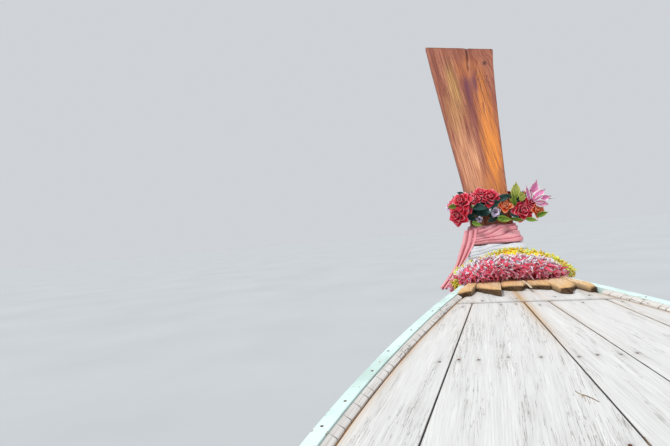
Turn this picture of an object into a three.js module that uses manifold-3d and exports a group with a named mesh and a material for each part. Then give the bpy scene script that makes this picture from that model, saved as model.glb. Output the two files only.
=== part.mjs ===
// A wooden longtail boat, afloat: plank-on-frame hull, fanned foredeck, tall raked prow post
// with cloths and garlands tied round it, a canopy amidships, and an engine on a swivel at the
// stern that carries a long shaft tube with the propeller at its end.
// Millimetres. +X forward, +Y port, +Z up. The origin is on the waterline, amidships, on the centreline.

import * as THREE from "three";
import { mergeVertices } from "three/addons/utils/BufferGeometryUtils.js";
import Module from "manifold-3d";

const wasm = await Module();
wasm.setup();

// Driving dimensions

const clearance = 0.3; // between pieces that touch
const seamX = 3450; // far cross seam of the foredeck
const seamZ = 920; // deck height there, above the water
const seamSkew = 0.085; // the cross seam runs this much forward for each unit to port
const deckSlope = Math.tan(THREE.MathUtils.degToRad(7)); // foredeck, rising forward
const deckAftX = 1750; // aft end of the foredeck
const sheerLowX = -1400; // lowest point of the sheer
const transomX = -4450;
const transomRake = 0.14; // aft lean of the stern, for each unit of height
const plankThickness = 26;
const sheerEdge = 33; // painted top edge of the sheer plank
const ledgeGap = 6; // dark groove inside it
const ledgeWidth = 29; // bare strip inside the groove
const ledgeDepth = 45;
const ledgeForwardX = 3520; // the strip stops where the cap boards start
const deckStep = 13; // the deck lies this much under the strip
const deckGap = 4;
const boardThickness = 22;
const keelWidth = 90;
const keelForwardX = 2300;
const ribDepth = 45;
const ribWidth = 50;
const soleZ = -60; // top of the floor boards
const riserZ = 250; // underside of the bench risers
const riserHeight = 60;
const prowAftX = 4070; // prow's aft face at prowAftZ
const prowAftZ = 1090;
const prowRake = Math.tan(THREE.MathUtils.degToRad(25));
const pivotX = -4150; // engine swivel
const pivotZ = 1200; // tilt axis
const tailSlope = THREE.MathUtils.degToRad(17.5); // shaft tube, at rest with the propeller clear of the water
const crankHeight = 220; // shaft line over the tilt axis
const propellerX = -3900; // along the shaft line
const engineShift = 160; // the engine sits this far forward of the tilt axis, against the weight of the tail

// Hull lines: x, half breadth at the sheer, height where the planks meet the keel, share of straight vee
const hullLines = [
  [-4450, 770, -170, 0.16],
  [-2700, 930, -275, 0.14],
  [-1200, 965, -295, 0.14],
  [150, 925, -295, 0.17],
  [1250, 839, -293, 0.24],
  [2050, 732, -285, 0.34],
  [2600, 616, -268, 0.45],
  [3020, 488, -225, 0.58],
  [3450, 321, -80, 0.72],
  [3650, 228, 90, 0.78],
  [3800, 172, 275, 0.83],
  [3960, 125, 525, 0.88],
  [4060, 84, 690, 0.9],
  [4160, 45, 837, 0.9],
];

// Stem and prow: leading edge x, z, aft face x, z, width of the leading edge, port and starboard edge of the aft face
const stemLines = [
  [2300, -345, 2300, -170, 90, 45, -45],
  [2800, -318, 2720, -120, 84, 45, -45],
  [3200, -250, 3060, -30, 72, 45, -45],
  [3520, -110, 3310, 100, 64, 46, -46],
  [3770, 140, 3520, 290, 60, 52, -52],
  [3970, 430, 3700, 500, 60, 62, -62],
  [4150, 720, 3875, 720, 64, 78, -78],
  [4320, 1000, 4014, 970, 72, 94, -98],
];
// Prow above its scarf: height, depth fore and aft, width of the leading edge, port and starboard edge, drop of the leading edge
const prowLines = [
  [1010, 305, 74, 95, -99, 0],
  [1178, 294, 78, 97, -103, 0],
  [1389, 281, 84, 107, -107, 0],
  [1654, 257, 100, 137, -125, 0],
  [1952, 228, 122, 170, -149, 10],
  [2133, 209, 138, 190, -166, 20],
  [2306, 190, 154, 211, -183, 36],
];
const headSlant = 0.19; // the head is sawn higher to port

// Foredeck seams, at the cross seam and their spread for each unit aft
const deckSeams = [
  [202, 0.241],
  [26, 0.003],
  [-53, -0.102],
  [-228, -0.178],
];
const seamGap = 4;
const deckBeams = [3405, 2975, 2530, 2150, 1790]; // x of the beams under the foredeck

// Cap boards: starboard and port edge as a share of the half width, and x of the aft end at each of them
const capBoards = [
  [0.8, 1, 3548, 3546],
  [0.335, 0.79, 3546, 3571],
  [-0.16, 0.325, 3556, 3588],
  [-0.46, -0.17, 3535, 3556],
  [-0.84, -0.47, 3511, 3539],
  [-1, -0.85, 3504, 3513],
];
const capAftHalf = 243; // half width at their aft ends
const capForwardX = 3930;

const ribXs = [-4150, -3600, -3060, -2520, -1980, -1440, -900, -360, 180, 700, 1200, 1700, 2230, 2760, 3190];
const battenXs = [-2790, -1170, 440, 1450];
const benchXs = [1150, 130, -890, -1910];
const postXs = [950, -750, -2450];

// Interpolation and mesh helpers

// Cubic through the rows of a table, in one column, with the slopes of its neighbours
function along(rows, column, x) {
  const last = rows.length - 1;
  let i = 0;
  while (i < last - 1 && x > rows[i + 1][0]) i++;
  const slope = (k) => {
    const a = rows[Math.max(k - 1, 0)];
    const b = rows[Math.min(k + 1, last)];
    return (b[column] - a[column]) / (b[0] - a[0]);
  };
  const span = rows[i + 1][0] - rows[i][0];
  const u = (x - rows[i][0]) / span;
  const [p, q] = [rows[i][column], rows[i + 1][column]];
  const [m, n] = [slope(i) * span, slope(i + 1) * span];
  return (2 * u ** 3 - 3 * u ** 2 + 1) * p + (u ** 3 - 2 * u ** 2 + u) * m
    + (3 * u ** 2 - 2 * u ** 3) * q + (u ** 3 - u ** 2) * n;
}

const range = (count, fn) => Array.from({ length: count }, (_, i) => fn(i));
const lerp = THREE.MathUtils.lerp;

function toSolid(geometry) {
  const bare = new THREE.BufferGeometry().setAttribute("position", geometry.getAttribute("position"));
  bare.setIndex(geometry.index);
  const merged = mergeVertices(bare, 1e-3);
  const triVerts = new Uint32Array(merged.index.array);
  return new wasm.Manifold(new wasm.Mesh({ numProp: 3, vertProperties: merged.attributes.position.array, triVerts }));
}

function toGeometry(solid) {
  const mesh = solid.getMesh();
  const geometry = new THREE.BufferGeometry();
  geometry.setAttribute("position", new THREE.BufferAttribute(mesh.vertProperties.slice(), 3));
  geometry.setIndex(new THREE.BufferAttribute(mesh.triVerts.slice(), 1));
  return geometry;
}

const join = (solids) => solids.reduce((a, b) => a.add(b));
const largest = (solid) => solid.decompose().reduce((a, b) => (a.volume() > b.volume() ? a : b));

// Closed skin over rings of [x, y, z] points; the ends are capped, or the last ring joins the first
function loft(rings, closed = false) {
  const count = rings[0].length;
  const positions = rings.flat(2);
  const index = [];
  const joins = closed ? rings.length : rings.length - 1;
  for (let i = 0; i < joins; i++) {
    const a = i * count;
    const b = ((i + 1) % rings.length) * count;
    for (let j = 0; j < count; j++) {
      const k = (j + 1) % count;
      index.push(a + j, a + k, b + k, a + j, b + k, b + j);
    }
  }
  if (!closed) {
    for (const [ring, start, flip] of [[rings[0], 0, true], [rings.at(-1), (rings.length - 1) * count, false]]) {
      for (const [p, q, r] of capTriangles(ring)) {
        index.push(...(flip ? [start + p, start + r, start + q] : [start + p, start + q, start + r]));
      }
    }
  }
  const geometry = new THREE.BufferGeometry();
  geometry.setAttribute("position", new THREE.Float32BufferAttribute(positions, 3));
  geometry.setIndex(index);
  const solid = toSolid(geometry);
  if (solid.volume() > 0) return solid;
  for (let i = 0; i < index.length; i += 3) [index[i + 1], index[i + 2]] = [index[i + 2], index[i + 1]];
  geometry.setIndex(index);
  return toSolid(geometry);
}

// Triangles of a flat ring, found in the plane that it faces most, turned the way the ring runs
function capTriangles(ring) {
  const normal = [0, 0, 0];
  ring.forEach((p, i) => {
    const q = ring[(i + 1) % ring.length];
    for (let k = 0; k < 3; k++) {
      const [u, v] = [(k + 1) % 3, (k + 2) % 3];
      normal[k] += (p[u] - q[u]) * (p[v] + q[v]);
    }
  });
  const axis = normal.map(Math.abs).reduce((best, size, i, sizes) => (size > sizes[best] ? i : best), 0);
  const [u, v] = [(axis + 1) % 3, (axis + 2) % 3];
  const flat = ring.map((p) => new THREE.Vector2(p[u], p[v]));
  const along2d = THREE.ShapeUtils.isClockWise(flat);
  const triangles = THREE.ShapeUtils.triangulateShape(flat, []);
  return triangles.map(([a, b, c]) => {
    const turn = (flat[b].x - flat[a].x) * (flat[c].y - flat[a].y) - (flat[b].y - flat[a].y) * (flat[c].x - flat[a].x);
    return turn > 0 === !along2d ? [a, b, c] : [a, c, b];
  });
}

// A block from its low and high corners
function block(low, high) {
  const size = high.map((h, k) => h - low[k]);
  const geometry = new THREE.BoxGeometry(...size);
  geometry.translate(...low.map((l, k) => l + size[k] / 2));
  return toSolid(geometry);
}

// A round bar between two points
function bar(from, to, radius, sides = 12, endRadius = radius) {
  const [a, b] = [new THREE.Vector3(...from), new THREE.Vector3(...to)];
  const geometry = new THREE.CylinderGeometry(endRadius, radius, a.distanceTo(b), sides);
  geometry.applyQuaternion(new THREE.Quaternion().setFromUnitVectors(new THREE.Vector3(0, 1, 0), b.clone().sub(a).normalize()));
  geometry.translate(...a.add(b).multiplyScalar(0.5).toArray());
  return toSolid(geometry);
}

// A round tube along a smooth line through points
function tube(points, radius, steps, sides = 8) {
  const path = new THREE.CatmullRomCurve3(points.map((p) => new THREE.Vector3(...p)));
  const section = new THREE.Shape(range(sides, (i) => {
    const angle = (i / sides) * 2 * Math.PI;
    return new THREE.Vector2(Math.cos(angle) * radius, Math.sin(angle) * radius);
  }));
  return toSolid(new THREE.ExtrudeGeometry(section, { steps, extrudePath: path, bevelEnabled: false }));
}

// A closed loop of round sections; each row is x, y, z, half width across, half height
function ringTube(rows, steps, sides = 10) {
  const pick = (column, u) => {
    const n = rows.length;
    const at = u * n;
    const i = Math.floor(at);
    const [a, b, c, d] = range(4, (k) => rows[(i + k - 1 + n) % n][column]);
    const t = at - i;
    return 0.5 * (2 * b + (c - a) * t + (2 * a - 5 * b + 4 * c - d) * t * t + (3 * b - a - 3 * c + d) * t ** 3);
  };
  const centre = (u) => new THREE.Vector3(pick(0, u), pick(1, u), pick(2, u));
  const rings = range(steps, (i) => {
    const u = i / steps;
    const p = centre(u);
    const ahead = centre((u + 0.5 / steps) % 1).sub(p).normalize();
    const across = new THREE.Vector3().crossVectors(ahead, new THREE.Vector3(0, 0, 1)).normalize();
    const up = new THREE.Vector3().crossVectors(across, ahead);
    return range(sides, (j) => {
      const angle = (j / sides) * 2 * Math.PI;
      return p.clone()
        .addScaledVector(across, Math.cos(angle) * pick(3, u))
        .addScaledVector(up, Math.sin(angle) * pick(4, u))
        .toArray();
    });
  });
  return loft(rings, true);
}

// Hull lines

const buttStation = 11; // the planks of a side meet end to end at this station
const stationXs = [...range(17, (i) => lerp(transomX, 2600, i / 16)), ...range(12, (i) => lerp(2600, 4160, (i + 1) / 12))];

// A line of the hull as the straight chords between its stations
const chords = (line) => (x) => {
  const i = stationXs.slice(1, -1).filter((station) => station <= x).length;
  const [a, b] = [stationXs[i], stationXs[i + 1]];
  return lerp(line(a), line(b), (x - a) / (b - a));
};

const deckTop = (x) => seamZ + deckSlope * (x - seamX);
const sheerTop = chords((x) => {
  if (x >= deckAftX) return deckTop(x) + deckStep;
  const back = x - deckAftX;
  return deckTop(deckAftX) + deckStep + deckSlope * back - (deckSlope / (2 * (sheerLowX - deckAftX))) * back * back;
});
const halfBreadth = chords((x) => along(hullLines, 1, x));
const rabbetHeight = chords((x) => along(hullLines, 2, x));

// Outer skin on the port side: t runs from 0 at the keel to 1 at the sheer
function skinPoint(x, t) {
  const inner = 30;
  const swing = THREE.MathUtils.degToRad(75);
  const vee = along(hullLines, 3, x);
  const out = Math.sin(t * swing) / Math.sin(swing);
  const rise = (1 - Math.cos(t * swing)) / (1 - Math.cos(swing));
  const bottom = rabbetHeight(x);
  return [inner + (halfBreadth(x) - inner) * out, bottom + (sheerTop(x) - bottom) * (vee * out + (1 - vee) * rise)];
}

// The same point moved inwards, square to the skin; straight inboard at the sheer
function insetPoint(x, t, inset) {
  const [y, z] = skinPoint(x, t);
  const [ya, za] = skinPoint(x, Math.max(t - 0.01, 0));
  const [yb, zb] = skinPoint(x, Math.min(t + 0.01, 1));
  const level = THREE.MathUtils.smoothstep(t, 0.9, 1);
  let [ny, nz] = [-(zb - za), yb - ya];
  const length = Math.hypot(ny, nz);
  [ny, nz] = [lerp(ny / length, -1, level), lerp(nz / length, 0, level)];
  const size = Math.hypot(ny, nz);
  return [y + (inset * ny) / size, z + (inset * nz) / size];
}

// Half breadth at a height, inside the skin by inset
function breadthAt(x, z, inset) {
  let [low, high] = [0, 1];
  for (let i = 0; i < 30; i++) {
    const middle = (low + high) / 2;
    if (insetPoint(x, middle, inset)[1] < z) low = middle;
    else high = middle;
  }
  return insetPoint(x, (low + high) / 2, inset)[0];
}

// The stern leans aft: every hull point near it moves back with its height
function raked([x, y, z]) {
  const near = THREE.MathUtils.smoothstep(-x, -transomX - 900, -transomX);
  return [x - transomRake * z * near, y, z];
}

// Height of the sheer at a place along the finished boat
const sheerLine = stationXs.map((x) => raked([x, 0, sheerTop(x)]));
function sheerAt(x) {
  const i = sheerLine.slice(1, -1).filter((p) => p[0] <= x).length;
  const [a, b] = [sheerLine[i], sheerLine[i + 1]];
  return lerp(a[2], b[2], (x - a[0]) / (b[0] - a[0]));
}

const edgeThickness = (t) => lerp(plankThickness, sheerEdge, THREE.MathUtils.smoothstep(t, 0.8, 1));

// One plank between two lines of the skin and two places along the boat, before its end is cut to the stem
function strake(side, low, high, steps, from = transomX, to = stationXs.at(-1)) {
  const margin = 0.0003;
  const stations = [from, ...stationXs.filter((x) => x > from + 1 && x < to - 1), to];
  return loft(stations.map((x) => {
    const ts = range(steps + 1, (j) => lerp(low + margin, high - (high < 1 ? margin : 0), j / steps));
    const outer = ts.map((t) => [x, side * skinPoint(x, t)[0], skinPoint(x, t)[1]]);
    const inner = ts.map((t) => {
      const [y, z] = insetPoint(x, t, edgeThickness(t));
      return [x, side * y, z];
    });
    return [...outer, ...inner.reverse()].map(raked);
  }));
}

// The room inside the planking, open-topped: what fits against the planks is cut to it
function hullRoom(side) {
  const ts = [1, 0.9, 0.8, 2 / 3, 1.6 / 3, 0.4, 0.8 / 3, 0.4 / 3, 0];
  return loft(stationXs.map((x) => {
    const wall = ts.map((t) => insetPoint(x, t, edgeThickness(t) + clearance));
    const [topY, topZ] = wall[0];
    const [footZ] = [wall.at(-1)[1]];
    return [[topY, topZ + 300], ...wall, [-1, footZ], [-1, topZ + 300]].map(([y, z]) => raked([x, side * y, z]));
  }));
}

// Keel, stem and prow

function stemRing([leadX, leadZ, aftX, aftZ, leadWidth, port, starboard], grow = 0) {
  const [dx, dz] = [leadX - aftX, leadZ - aftZ];
  const size = Math.hypot(dx, dz);
  const middle = (port + starboard) / 2;
  const at = (share, y, extra) => [aftX + dx * share + (dx / size) * extra, y, aftZ + dz * share + (dz / size) * extra];
  return [
    at(0, port + grow, -grow),
    at(0.16, port + grow, 0),
    at(1, middle + leadWidth / 2 + grow, grow),
    at(1, middle - leadWidth / 2 - grow, grow),
    at(0.16, starboard - grow, 0),
    at(0, starboard - grow, -grow),
  ];
}

// A table read at even steps between its rows
function refined(rows, between) {
  const numbered = rows.map((row, i) => [i, ...row]);
  const steps = (rows.length - 1) * between;
  return range(steps + 1, (i) => rows[0].map((_, column) => along(numbered, column + 1, i / between)));
}

function stemSolid(grow = 0) {
  return loft(refined(stemLines, 2).map((row) => stemRing(row, grow)));
}

function prowRow(z, depth, leadWidth, port, starboard, drop) {
  const aftX = prowAftX + prowRake * (z - prowAftZ);
  return [aftX + depth, z - drop, aftX, z, leadWidth, port, starboard];
}

function prowSolid(grow = 0) {
  const rings = refined(prowLines, 2).map((row) => stemRing(prowRow(...row), grow));
  const lift = clearance - 2 * grow;
  const base = stemRing(stemLines.at(-1), grow).map(([x, y, z]) => [x + lift * prowRake, y, z + lift]);
  const slanted = rings.map((ring, i) => {
    const share = THREE.MathUtils.smoothstep(i, rings.length - 3, rings.length - 1);
    return ring.map(([x, y, z]) => [x + share * headSlant * y * prowRake, y, z + share * headSlant * y]);
  });
  return loft([base, ...slanted]);
}

function keelSolid(grow = 0) {
  const half = keelWidth / 2 + grow;
  const stations = range(12, (i) => lerp(transomX - 5 * grow, keelForwardX - clearance, i / 11));
  return loft(stations.map((x) => {
    const [bottom, top] = [rabbetHeight(x) - 52 - grow, rabbetHeight(x) + 40 + grow];
    return [[x, half, bottom], [x, half, top], [x, -half, top], [x, -half, bottom]].map(raked);
  }));
}

const stemGrown = stemSolid(clearance);
const prowGrown = prowSolid(clearance);
const keelGrown = keelSolid(clearance);
const room = hullRoom(1).add(hullRoom(-1));

// Inside the hull

function transomSolid() {
  const ring = (x) => [[900, -300], [900, sheerTop(x)], [-900, sheerTop(x)], [-900, -300]].map(([y, z]) => raked([x, y, z]));
  return largest(loft([ring(transomX), ring(transomX + 40)]).intersect(room).subtract(keelGrown));
}

function ribSolid(x) {
  const depth = plankThickness + ribDepth + 7;
  const ring = (at) => {
    const outer = [0, 0.2, 0.4, 0.65, 0.93].map((t) => insetPoint(at, t, -20));
    const floor = Math.max(soleZ - boardThickness - clearance, rabbetHeight(at) + 100);
    const head = insetPoint(at, 0.93, depth)[1];
    const inner = range(6, (j) => {
      const z = lerp(head, floor, j / 5);
      return [Math.max(breadthAt(at, z, depth), 4), z];
    });
    const half = [...outer, ...inner];
    const other = half.map(([y, z]) => [-y, z]).reverse();
    return [...half, ...other].map(([y, z]) => raked([at, y, z]));
  };
  return loft([ring(x - ribWidth / 2), ring(x + ribWidth / 2)]);
}

// A bearer on the ribs' inner faces, from stern to bow
function riserSolid(side) {
  const stations = range(9, (i) => lerp(-4150, 3200, i / 8));
  return loft(stations.map((x) => {
    const far = breadthAt(x, riserZ + riserHeight / 2, plankThickness + ribDepth) - 2;
    const near = far - 30;
    return [[x, side * far, riserZ], [x, side * far, riserZ + riserHeight],
      [x, side * near, riserZ + riserHeight], [x, side * near, riserZ]].map(raked);
  }));
}

function keelsonSolid() {
  const stations = range(8, (i) => lerp(-4100, 2200, i / 7));
  return loft(stations.map((x) => {
    const low = rabbetHeight(x) + 60;
    const high = Math.max(soleZ - boardThickness - clearance, low + 30) - 2;
    return [[x, 40, low], [x, 40, high], [x, -40, high], [x, -40, low]].map(raked);
  }));
}

function ribsSolid() {
  const whole = join([...ribXs.map(ribSolid), riserSolid(1), riserSolid(-1), keelsonSolid()]);
  return largest(whole.intersect(room).subtract(keelGrown).subtract(stemGrown));
}

function ledgeSolid(side) {
  const endX = ledgeForwardX + side * seamSkew * capAftHalf;
  const stations = [transomX + 45, ...stationXs.filter((x) => x > transomX + 50 && x < endX - 20), endX];
  const lip = ledgeDepth * 0.4;
  return largest(loft(stations.map((x) => {
    const top = sheerTop(x);
    const outer = halfBreadth(x) - sheerEdge - ledgeGap;
    return [[outer, top], [outer - ledgeWidth, top], [outer - ledgeWidth, top - ledgeDepth],
      [outer + 30, top - ledgeDepth], [outer + 30, top - lip], [outer, top - lip]]
      .map(([y, z]) => raked([x, side * y, z]));
  })).intersect(room));
}

const insideLedge = (x) => halfBreadth(x) - sheerEdge - ledgeGap - ledgeWidth;
const deckEdge = (x) => insideLedge(x) - deckGap;

// A flat board between two side lines, each with its own x at every step, so that its ends may be skewed
function boardSolid(portXs, starboardXs, portLine, starboardLine, topLine, thickness) {
  return loft(portXs.map((a, i) => {
    const b = starboardXs[i];
    return [[a, portLine(a), topLine(a)], [b, starboardLine(b), topLine(b)],
      [b, starboardLine(b), topLine(b) - thickness], [a, portLine(a), topLine(a) - thickness]];
  }));
}

// Foredeck board between seam number and the one before it; its forward end follows the skewed cross seam
function deckBoard(number) {
  const seamLine = (k) => (x) => deckSeams[k][0] + deckSeams[k][1] * (seamX - x);
  const starboard = number === deckSeams.length ? (x) => -deckEdge(x) : (x) => seamLine(number)(x) + seamGap / 2;
  const portSeam = number === 0 ? deckEdge : (x) => seamLine(number - 1)(x) - seamGap / 2;
  const port = (x) => Math.max(portSeam(x), starboard(x) + 8);
  const xs = (line) => {
    const endX = seamX - 2 + seamSkew * line(seamX);
    return range(8, (i) => lerp(deckAftX, endX, i / 7));
  };
  return boardSolid(xs(port), xs(starboard), port, starboard, deckTop, boardThickness);
}

function crossPiece() {
  const forwardX = 3900;
  const width = (x) => Math.min(deckEdge(x), halfBreadth(x) - sheerEdge - 20);
  const xs = (side) => range(5, (i) => lerp(seamX + 2 + side * seamSkew * width(seamX), forwardX, i / 4));
  return boardSolid(xs(1), xs(-1), width, (x) => -width(x), deckTop, boardThickness);
}

function deckFrame() {
  const top = (x) => deckTop(x) - boardThickness - clearance;
  const beams = deckBeams.map((x) => boardSolid([x - 24, x + 24], [x - 24, x + 24],
    (at) => insideLedge(at) - clearance - 0.4, (at) => -insideLedge(at) + clearance + 0.4, top, 60));
  const carlins = [1, -1].map((side) => boardSolid([deckBeams.at(-1), deckBeams[0]], [deckBeams.at(-1), deckBeams[0]],
    () => side * 150 + 20, () => side * 150 - 20, (x) => top(x) - 25, 40));
  return join([...beams, ...carlins]);
}

// Cap board with a broken aft end; rows are how far across the board, and how far forward the break runs there
const breaks = [
  [0, 0],
  [0.27, 6],
  [0.33, -3],
  [0.62, 2],
  [0.7, 10],
  [1, 5],
];
function capBoard([low, high, lowX, highX], number) {
  const edge = (share, x) => share * (halfBreadth(x) - sheerEdge - 3);
  const last = breaks.length - 1;
  const backs = range(breaks.length, (i) => {
    const [across, forward] = number % 2 ? [1 - breaks[last - i][0], breaks[last - i][1]] : breaks[i];
    const share = lerp(low, high, across);
    const x = lerp(lowX, highX, across) + forward;
    const inset = i === 0 ? 0.8 : i === last ? -0.8 : 0;
    return [x, edge(share, x) + inset];
  });
  const side = (share, inset) => [...stationXs.filter((x) => x > 3600 && x < capForwardX), capForwardX]
    .map((x) => [x, edge(share, x) + inset]);
  const outline = [...backs, ...side(high, -0.8), ...side(low, 0.8).reverse()];
  const ring = (lift) => outline.map(([x, y]) => [x, y, deckTop(x) + lift]);
  return largest(loft([ring(clearance), ring(clearance + 24)]).intersect(room));
}

function soleSolid() {
  const xs = range(8, (i) => lerp(-3180, 2250, i / 7));
  const limit = (x) => breadthAt(x, soleZ - boardThickness, plankThickness + ribDepth + 7) - 3;
  const boards = [-2, -1, 0, 1, 2].map((k) => boardSolid(xs, xs,
    (x) => (k + 0.5) * (limit(x) / 2.5) - 3, (x) => (k - 0.5) * (limit(x) / 2.5) + 3, () => soleZ, boardThickness));
  const battens = battenXs.flatMap((x) => [1, -1].map((side) => boardSolid([x - 30, x + 30], [x - 30, x + 30],
    () => (side > 0 ? 0.8 * limit(x) : -48), () => (side > 0 ? 48 : -0.8 * limit(x)), () => soleZ - boardThickness + 4, 24)));
  const key = battenXs.map((x) => block([x - 30, -60, soleZ - boardThickness + 0.1], [x + 30, 60, soleZ - 4]));
  return join([...boards, ...battens, ...key]);
}

function benchSolid(x) {
  const low = riserZ + riserHeight + clearance;
  const edge = (at) => breadthAt(at, low, plankThickness + ribDepth + 7) - 3;
  const xs = [x - 130, x + 130];
  return boardSolid(xs, xs, edge, (at) => -edge(at), () => low + 26, 26);
}

function aftDeckSolid() {
  const top = 430;
  const xs = range(6, (i) => lerp(-4370, -3300, i / 5));
  const edge = (x) => breadthAt(x, top - 30, plankThickness + ribDepth + 7) - 4;
  const shell = loft(xs.map((x) => [[x, edge(x), top], [x, -edge(x), top], [x, -edge(x), top - 26], [x, edge(x), top - 26]]
    .map(([px, y, z]) => raked([px, y, z]))));
  const beams = [-3450, -3950].map((x) => boardSolid([x - 30, x + 30], [x - 30, x + 30],
    () => edge(x) - 25, () => -edge(x) + 25, () => top - 24, top - 24 - riserZ - riserHeight - clearance));
  return join([shell, ...beams]);
}

// Canopy

const railZ = 1600;
const crownRise = 190;
const postY = (x) => halfBreadth(x) - sheerEdge - ledgeGap - 4;
const railY = 885;
const bowPoints = (x, reach, lift) => range(9, (i) => {
  const y = lerp(-reach, reach, i / 8);
  return [x, y, railZ + lift + crownRise * (1 - (y / reach) ** 2)];
});

function canopyFrame() {
  const posts = postXs.flatMap((x) => [1, -1].flatMap((side) => {
    const foot = sheerTop(x) + 5;
    return [
      tube([[x, side * postY(x), foot], [x, side * postY(x), foot + 60], [x, side * railY, railZ - 60], [x, side * railY, railZ]], 17, 5),
      loft([x - 45, x + 45].map((at) => [[at, side * (postY(x) - 30), sheerTop(at) + clearance],
        [at, side * (postY(x) + 32), sheerTop(at) + clearance],
        [at, side * (postY(x) + 32), sheerTop(at) + 9], [at, side * (postY(x) - 30), sheerTop(at) + 9]])),
    ];
  }));
  const rails = [1, -1].map((side) => bar([postXs[0] + 130, side * railY, railZ], [postXs.at(-1) - 130, side * railY, railZ], 16, 8));
  const bowXs = [1075, 100, -750, -1600, -2575];
  const bows = bowXs.map((x) => tube(bowPoints(x, railY, 0), 14, 10, 6));
  return join([...posts, ...rails, ...bows]);
}

function canopySolid() {
  const reach = railY + 22;
  const outline = (lift, out) => range(13, (i) => {
    const y = lerp(-reach - out, reach + out, i / 12);
    return [y, railZ + 13 + lift + crownRise * (1 - (y / (reach + out)) ** 2)];
  });
  const hem = railZ - 95;
  const section = [[-reach - 6, hem], ...outline(6, 6), [reach + 6, hem], [reach, hem], ...outline(0, 0).reverse(), [-reach, hem]];
  return loft([1130, -2630].map((x) => section.map(([y, z]) => [x, y, z])));
}

// Stern gear that stays on the hull

const beamTop = 800;
function engineBeam() {
  const edge = halfBreadth(pivotX) - 14;
  return loft([pivotX - 70, pivotX + 70].map((x) => {
    const low = sheerAt(x) + clearance;
    return [[x, edge, low], [x, edge, beamTop], [x, -edge, beamTop], [x, -edge, low]];
  }));
}

function swivelPost() {
  const low = beamTop + clearance;
  const plate = block([pivotX - 65, -110, low], [pivotX + 65, 110, low + 12]);
  const barrel = bar([pivotX, 0, low + 6], [pivotX, 0, 1040], 42, 20);
  const webs = [0, 1].map((turn) => {
    const [dx, dy] = turn ? [5, 95] : [58, 5];
    return block([pivotX - dx, -dy, low + 6], [pivotX + dx, dy, low + 70]);
  });
  const bore = bar([pivotX, 0, 880], [pivotX, 0, 1100], 25 + clearance, 20);
  return join([plate, barrel, ...webs]).subtract(bore);
}

// Steering yoke, in the boat's frame

function yokeSolid() {
  const spindle = bar([pivotX, 0, 900], [pivotX, 0, 1050], 25, 20);
  const collar = bar([pivotX, 0, 1040 + clearance], [pivotX, 0, 1056], 60, 20);
  const base = block([pivotX - 50, -112, 1052], [pivotX + 50, 112, 1072]);
  const ears = [1, -1].map((side) => {
    const [a, b] = side > 0 ? [97, 112] : [-112, -97];
    return join([
      block([pivotX - 42, a, 1060], [pivotX + 42, b, pivotZ]),
      bar([pivotX, a, pivotZ], [pivotX, b, pivotZ], 42, 20),
    ]);
  });
  const bore = bar([pivotX, -130, pivotZ], [pivotX, 130, pivotZ], 18 + clearance, 24);
  return join([spindle, collar, base, ...ears]).subtract(bore);
}

// Tail gear, in its own frame: x along the shaft line, z square to it, the origin on the tilt axis

const railHalf = 145;
const cradleAft = engineShift - 420;
const cradleFore = engineShift + 430;
function cradleSolid() {
  const rails = [1, -1].map((side) => block([cradleAft, side * railHalf - 22, -22], [cradleFore, side * railHalf + 22, 22]));
  const crossXs = [[cradleAft, cradleAft + 50], [cradleFore - 50, cradleFore]];
  const crosses = crossXs.map(([a, b]) => block([a, -railHalf, -22], [b, railHalf, 22]));
  const trunnion = bar([0, -railHalf, 0], [0, railHalf, 0], 18, 24);
  const feet = [engineShift - 250, engineShift + 230].flatMap((x) => [1, -1].map((side) => block([x, side * railHalf - 20, 20], [x + 40, side * railHalf + 20, 95])));
  return join([...rails, ...crosses, trunnion, ...feet]);
}

function engineSolid() {
  const low = 95 + clearance;
  const sump = block([-200, -95, 70], [220, 95, low + 60]);
  const crankcase = block([-270, -railHalf - 18, low], [270, railHalf + 18, low + 90]);
  const cylinderBlock = block([-270, -110, low + 60], [270, 110, 400]);
  const head = block([-262, -95, 395], [262, 95, 480]);
  const cover = block([-240, -62, 475], [240, 62, 535]);
  const housing = bar([-268, 0, crankHeight], [-400, 0, crankHeight], 150, 24, 95);
  const pulley = bar([268, 0, crankHeight], [315, 0, crankHeight], 82, 24);
  const waterPump = bar([268, 0, 380], [325, 0, 380], 62, 20);
  const alternator = bar([90, 150, 330], [262, 150, 330], 62, 16);
  const intake = block([-120, -190, 390], [150, -90, 450]);
  const filter = bar([20, -150, 448], [20, -150, 520], 85, 20);
  return join([sump, crankcase, cylinderBlock, head, cover, housing, pulley, waterPump, alternator, intake, filter])
    .translate(engineShift, 0, 0);
}

function exhaustSolid() {
  const manifold = block([-200, 95 + clearance, 405], [210, 165, 455]);
  const pipe = tube([[-170, 140, 430], [-250, 150, 470], [-330, 150, 560], [-420, 150, 640]], 24, 12, 10);
  const can = bar([-390, 150, 610], [-700, 150, 720], 55, 16);
  const tip = bar([-690, 150, 716], [-790, 150, 752], 22, 12);
  const chamber = bar([-398, 150, 613], [-692, 150, 717], 51, 16);
  const outlet = bar([-680, 150, 712.4], [-800, 150, 755.6], 18, 12);
  return join([manifold, pipe, can, tip]).subtract(chamber.add(outlet)).translate(engineShift, 0, 0);
}

function tillerSolid() {
  const start = cradleFore + clearance;
  const arm = tube([[start + 9, 0, 0], [760, 0, -75], [980, 0, -200], [1400, 0, -380]], 19, 14, 10);
  const plate = block([start, -60, -22], [start + 12, 60, 22]);
  const grip = bar([1290, 0, -340], [1430, 0, -391], 26, 12);
  return join([arm, plate, grip]);
}

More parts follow.
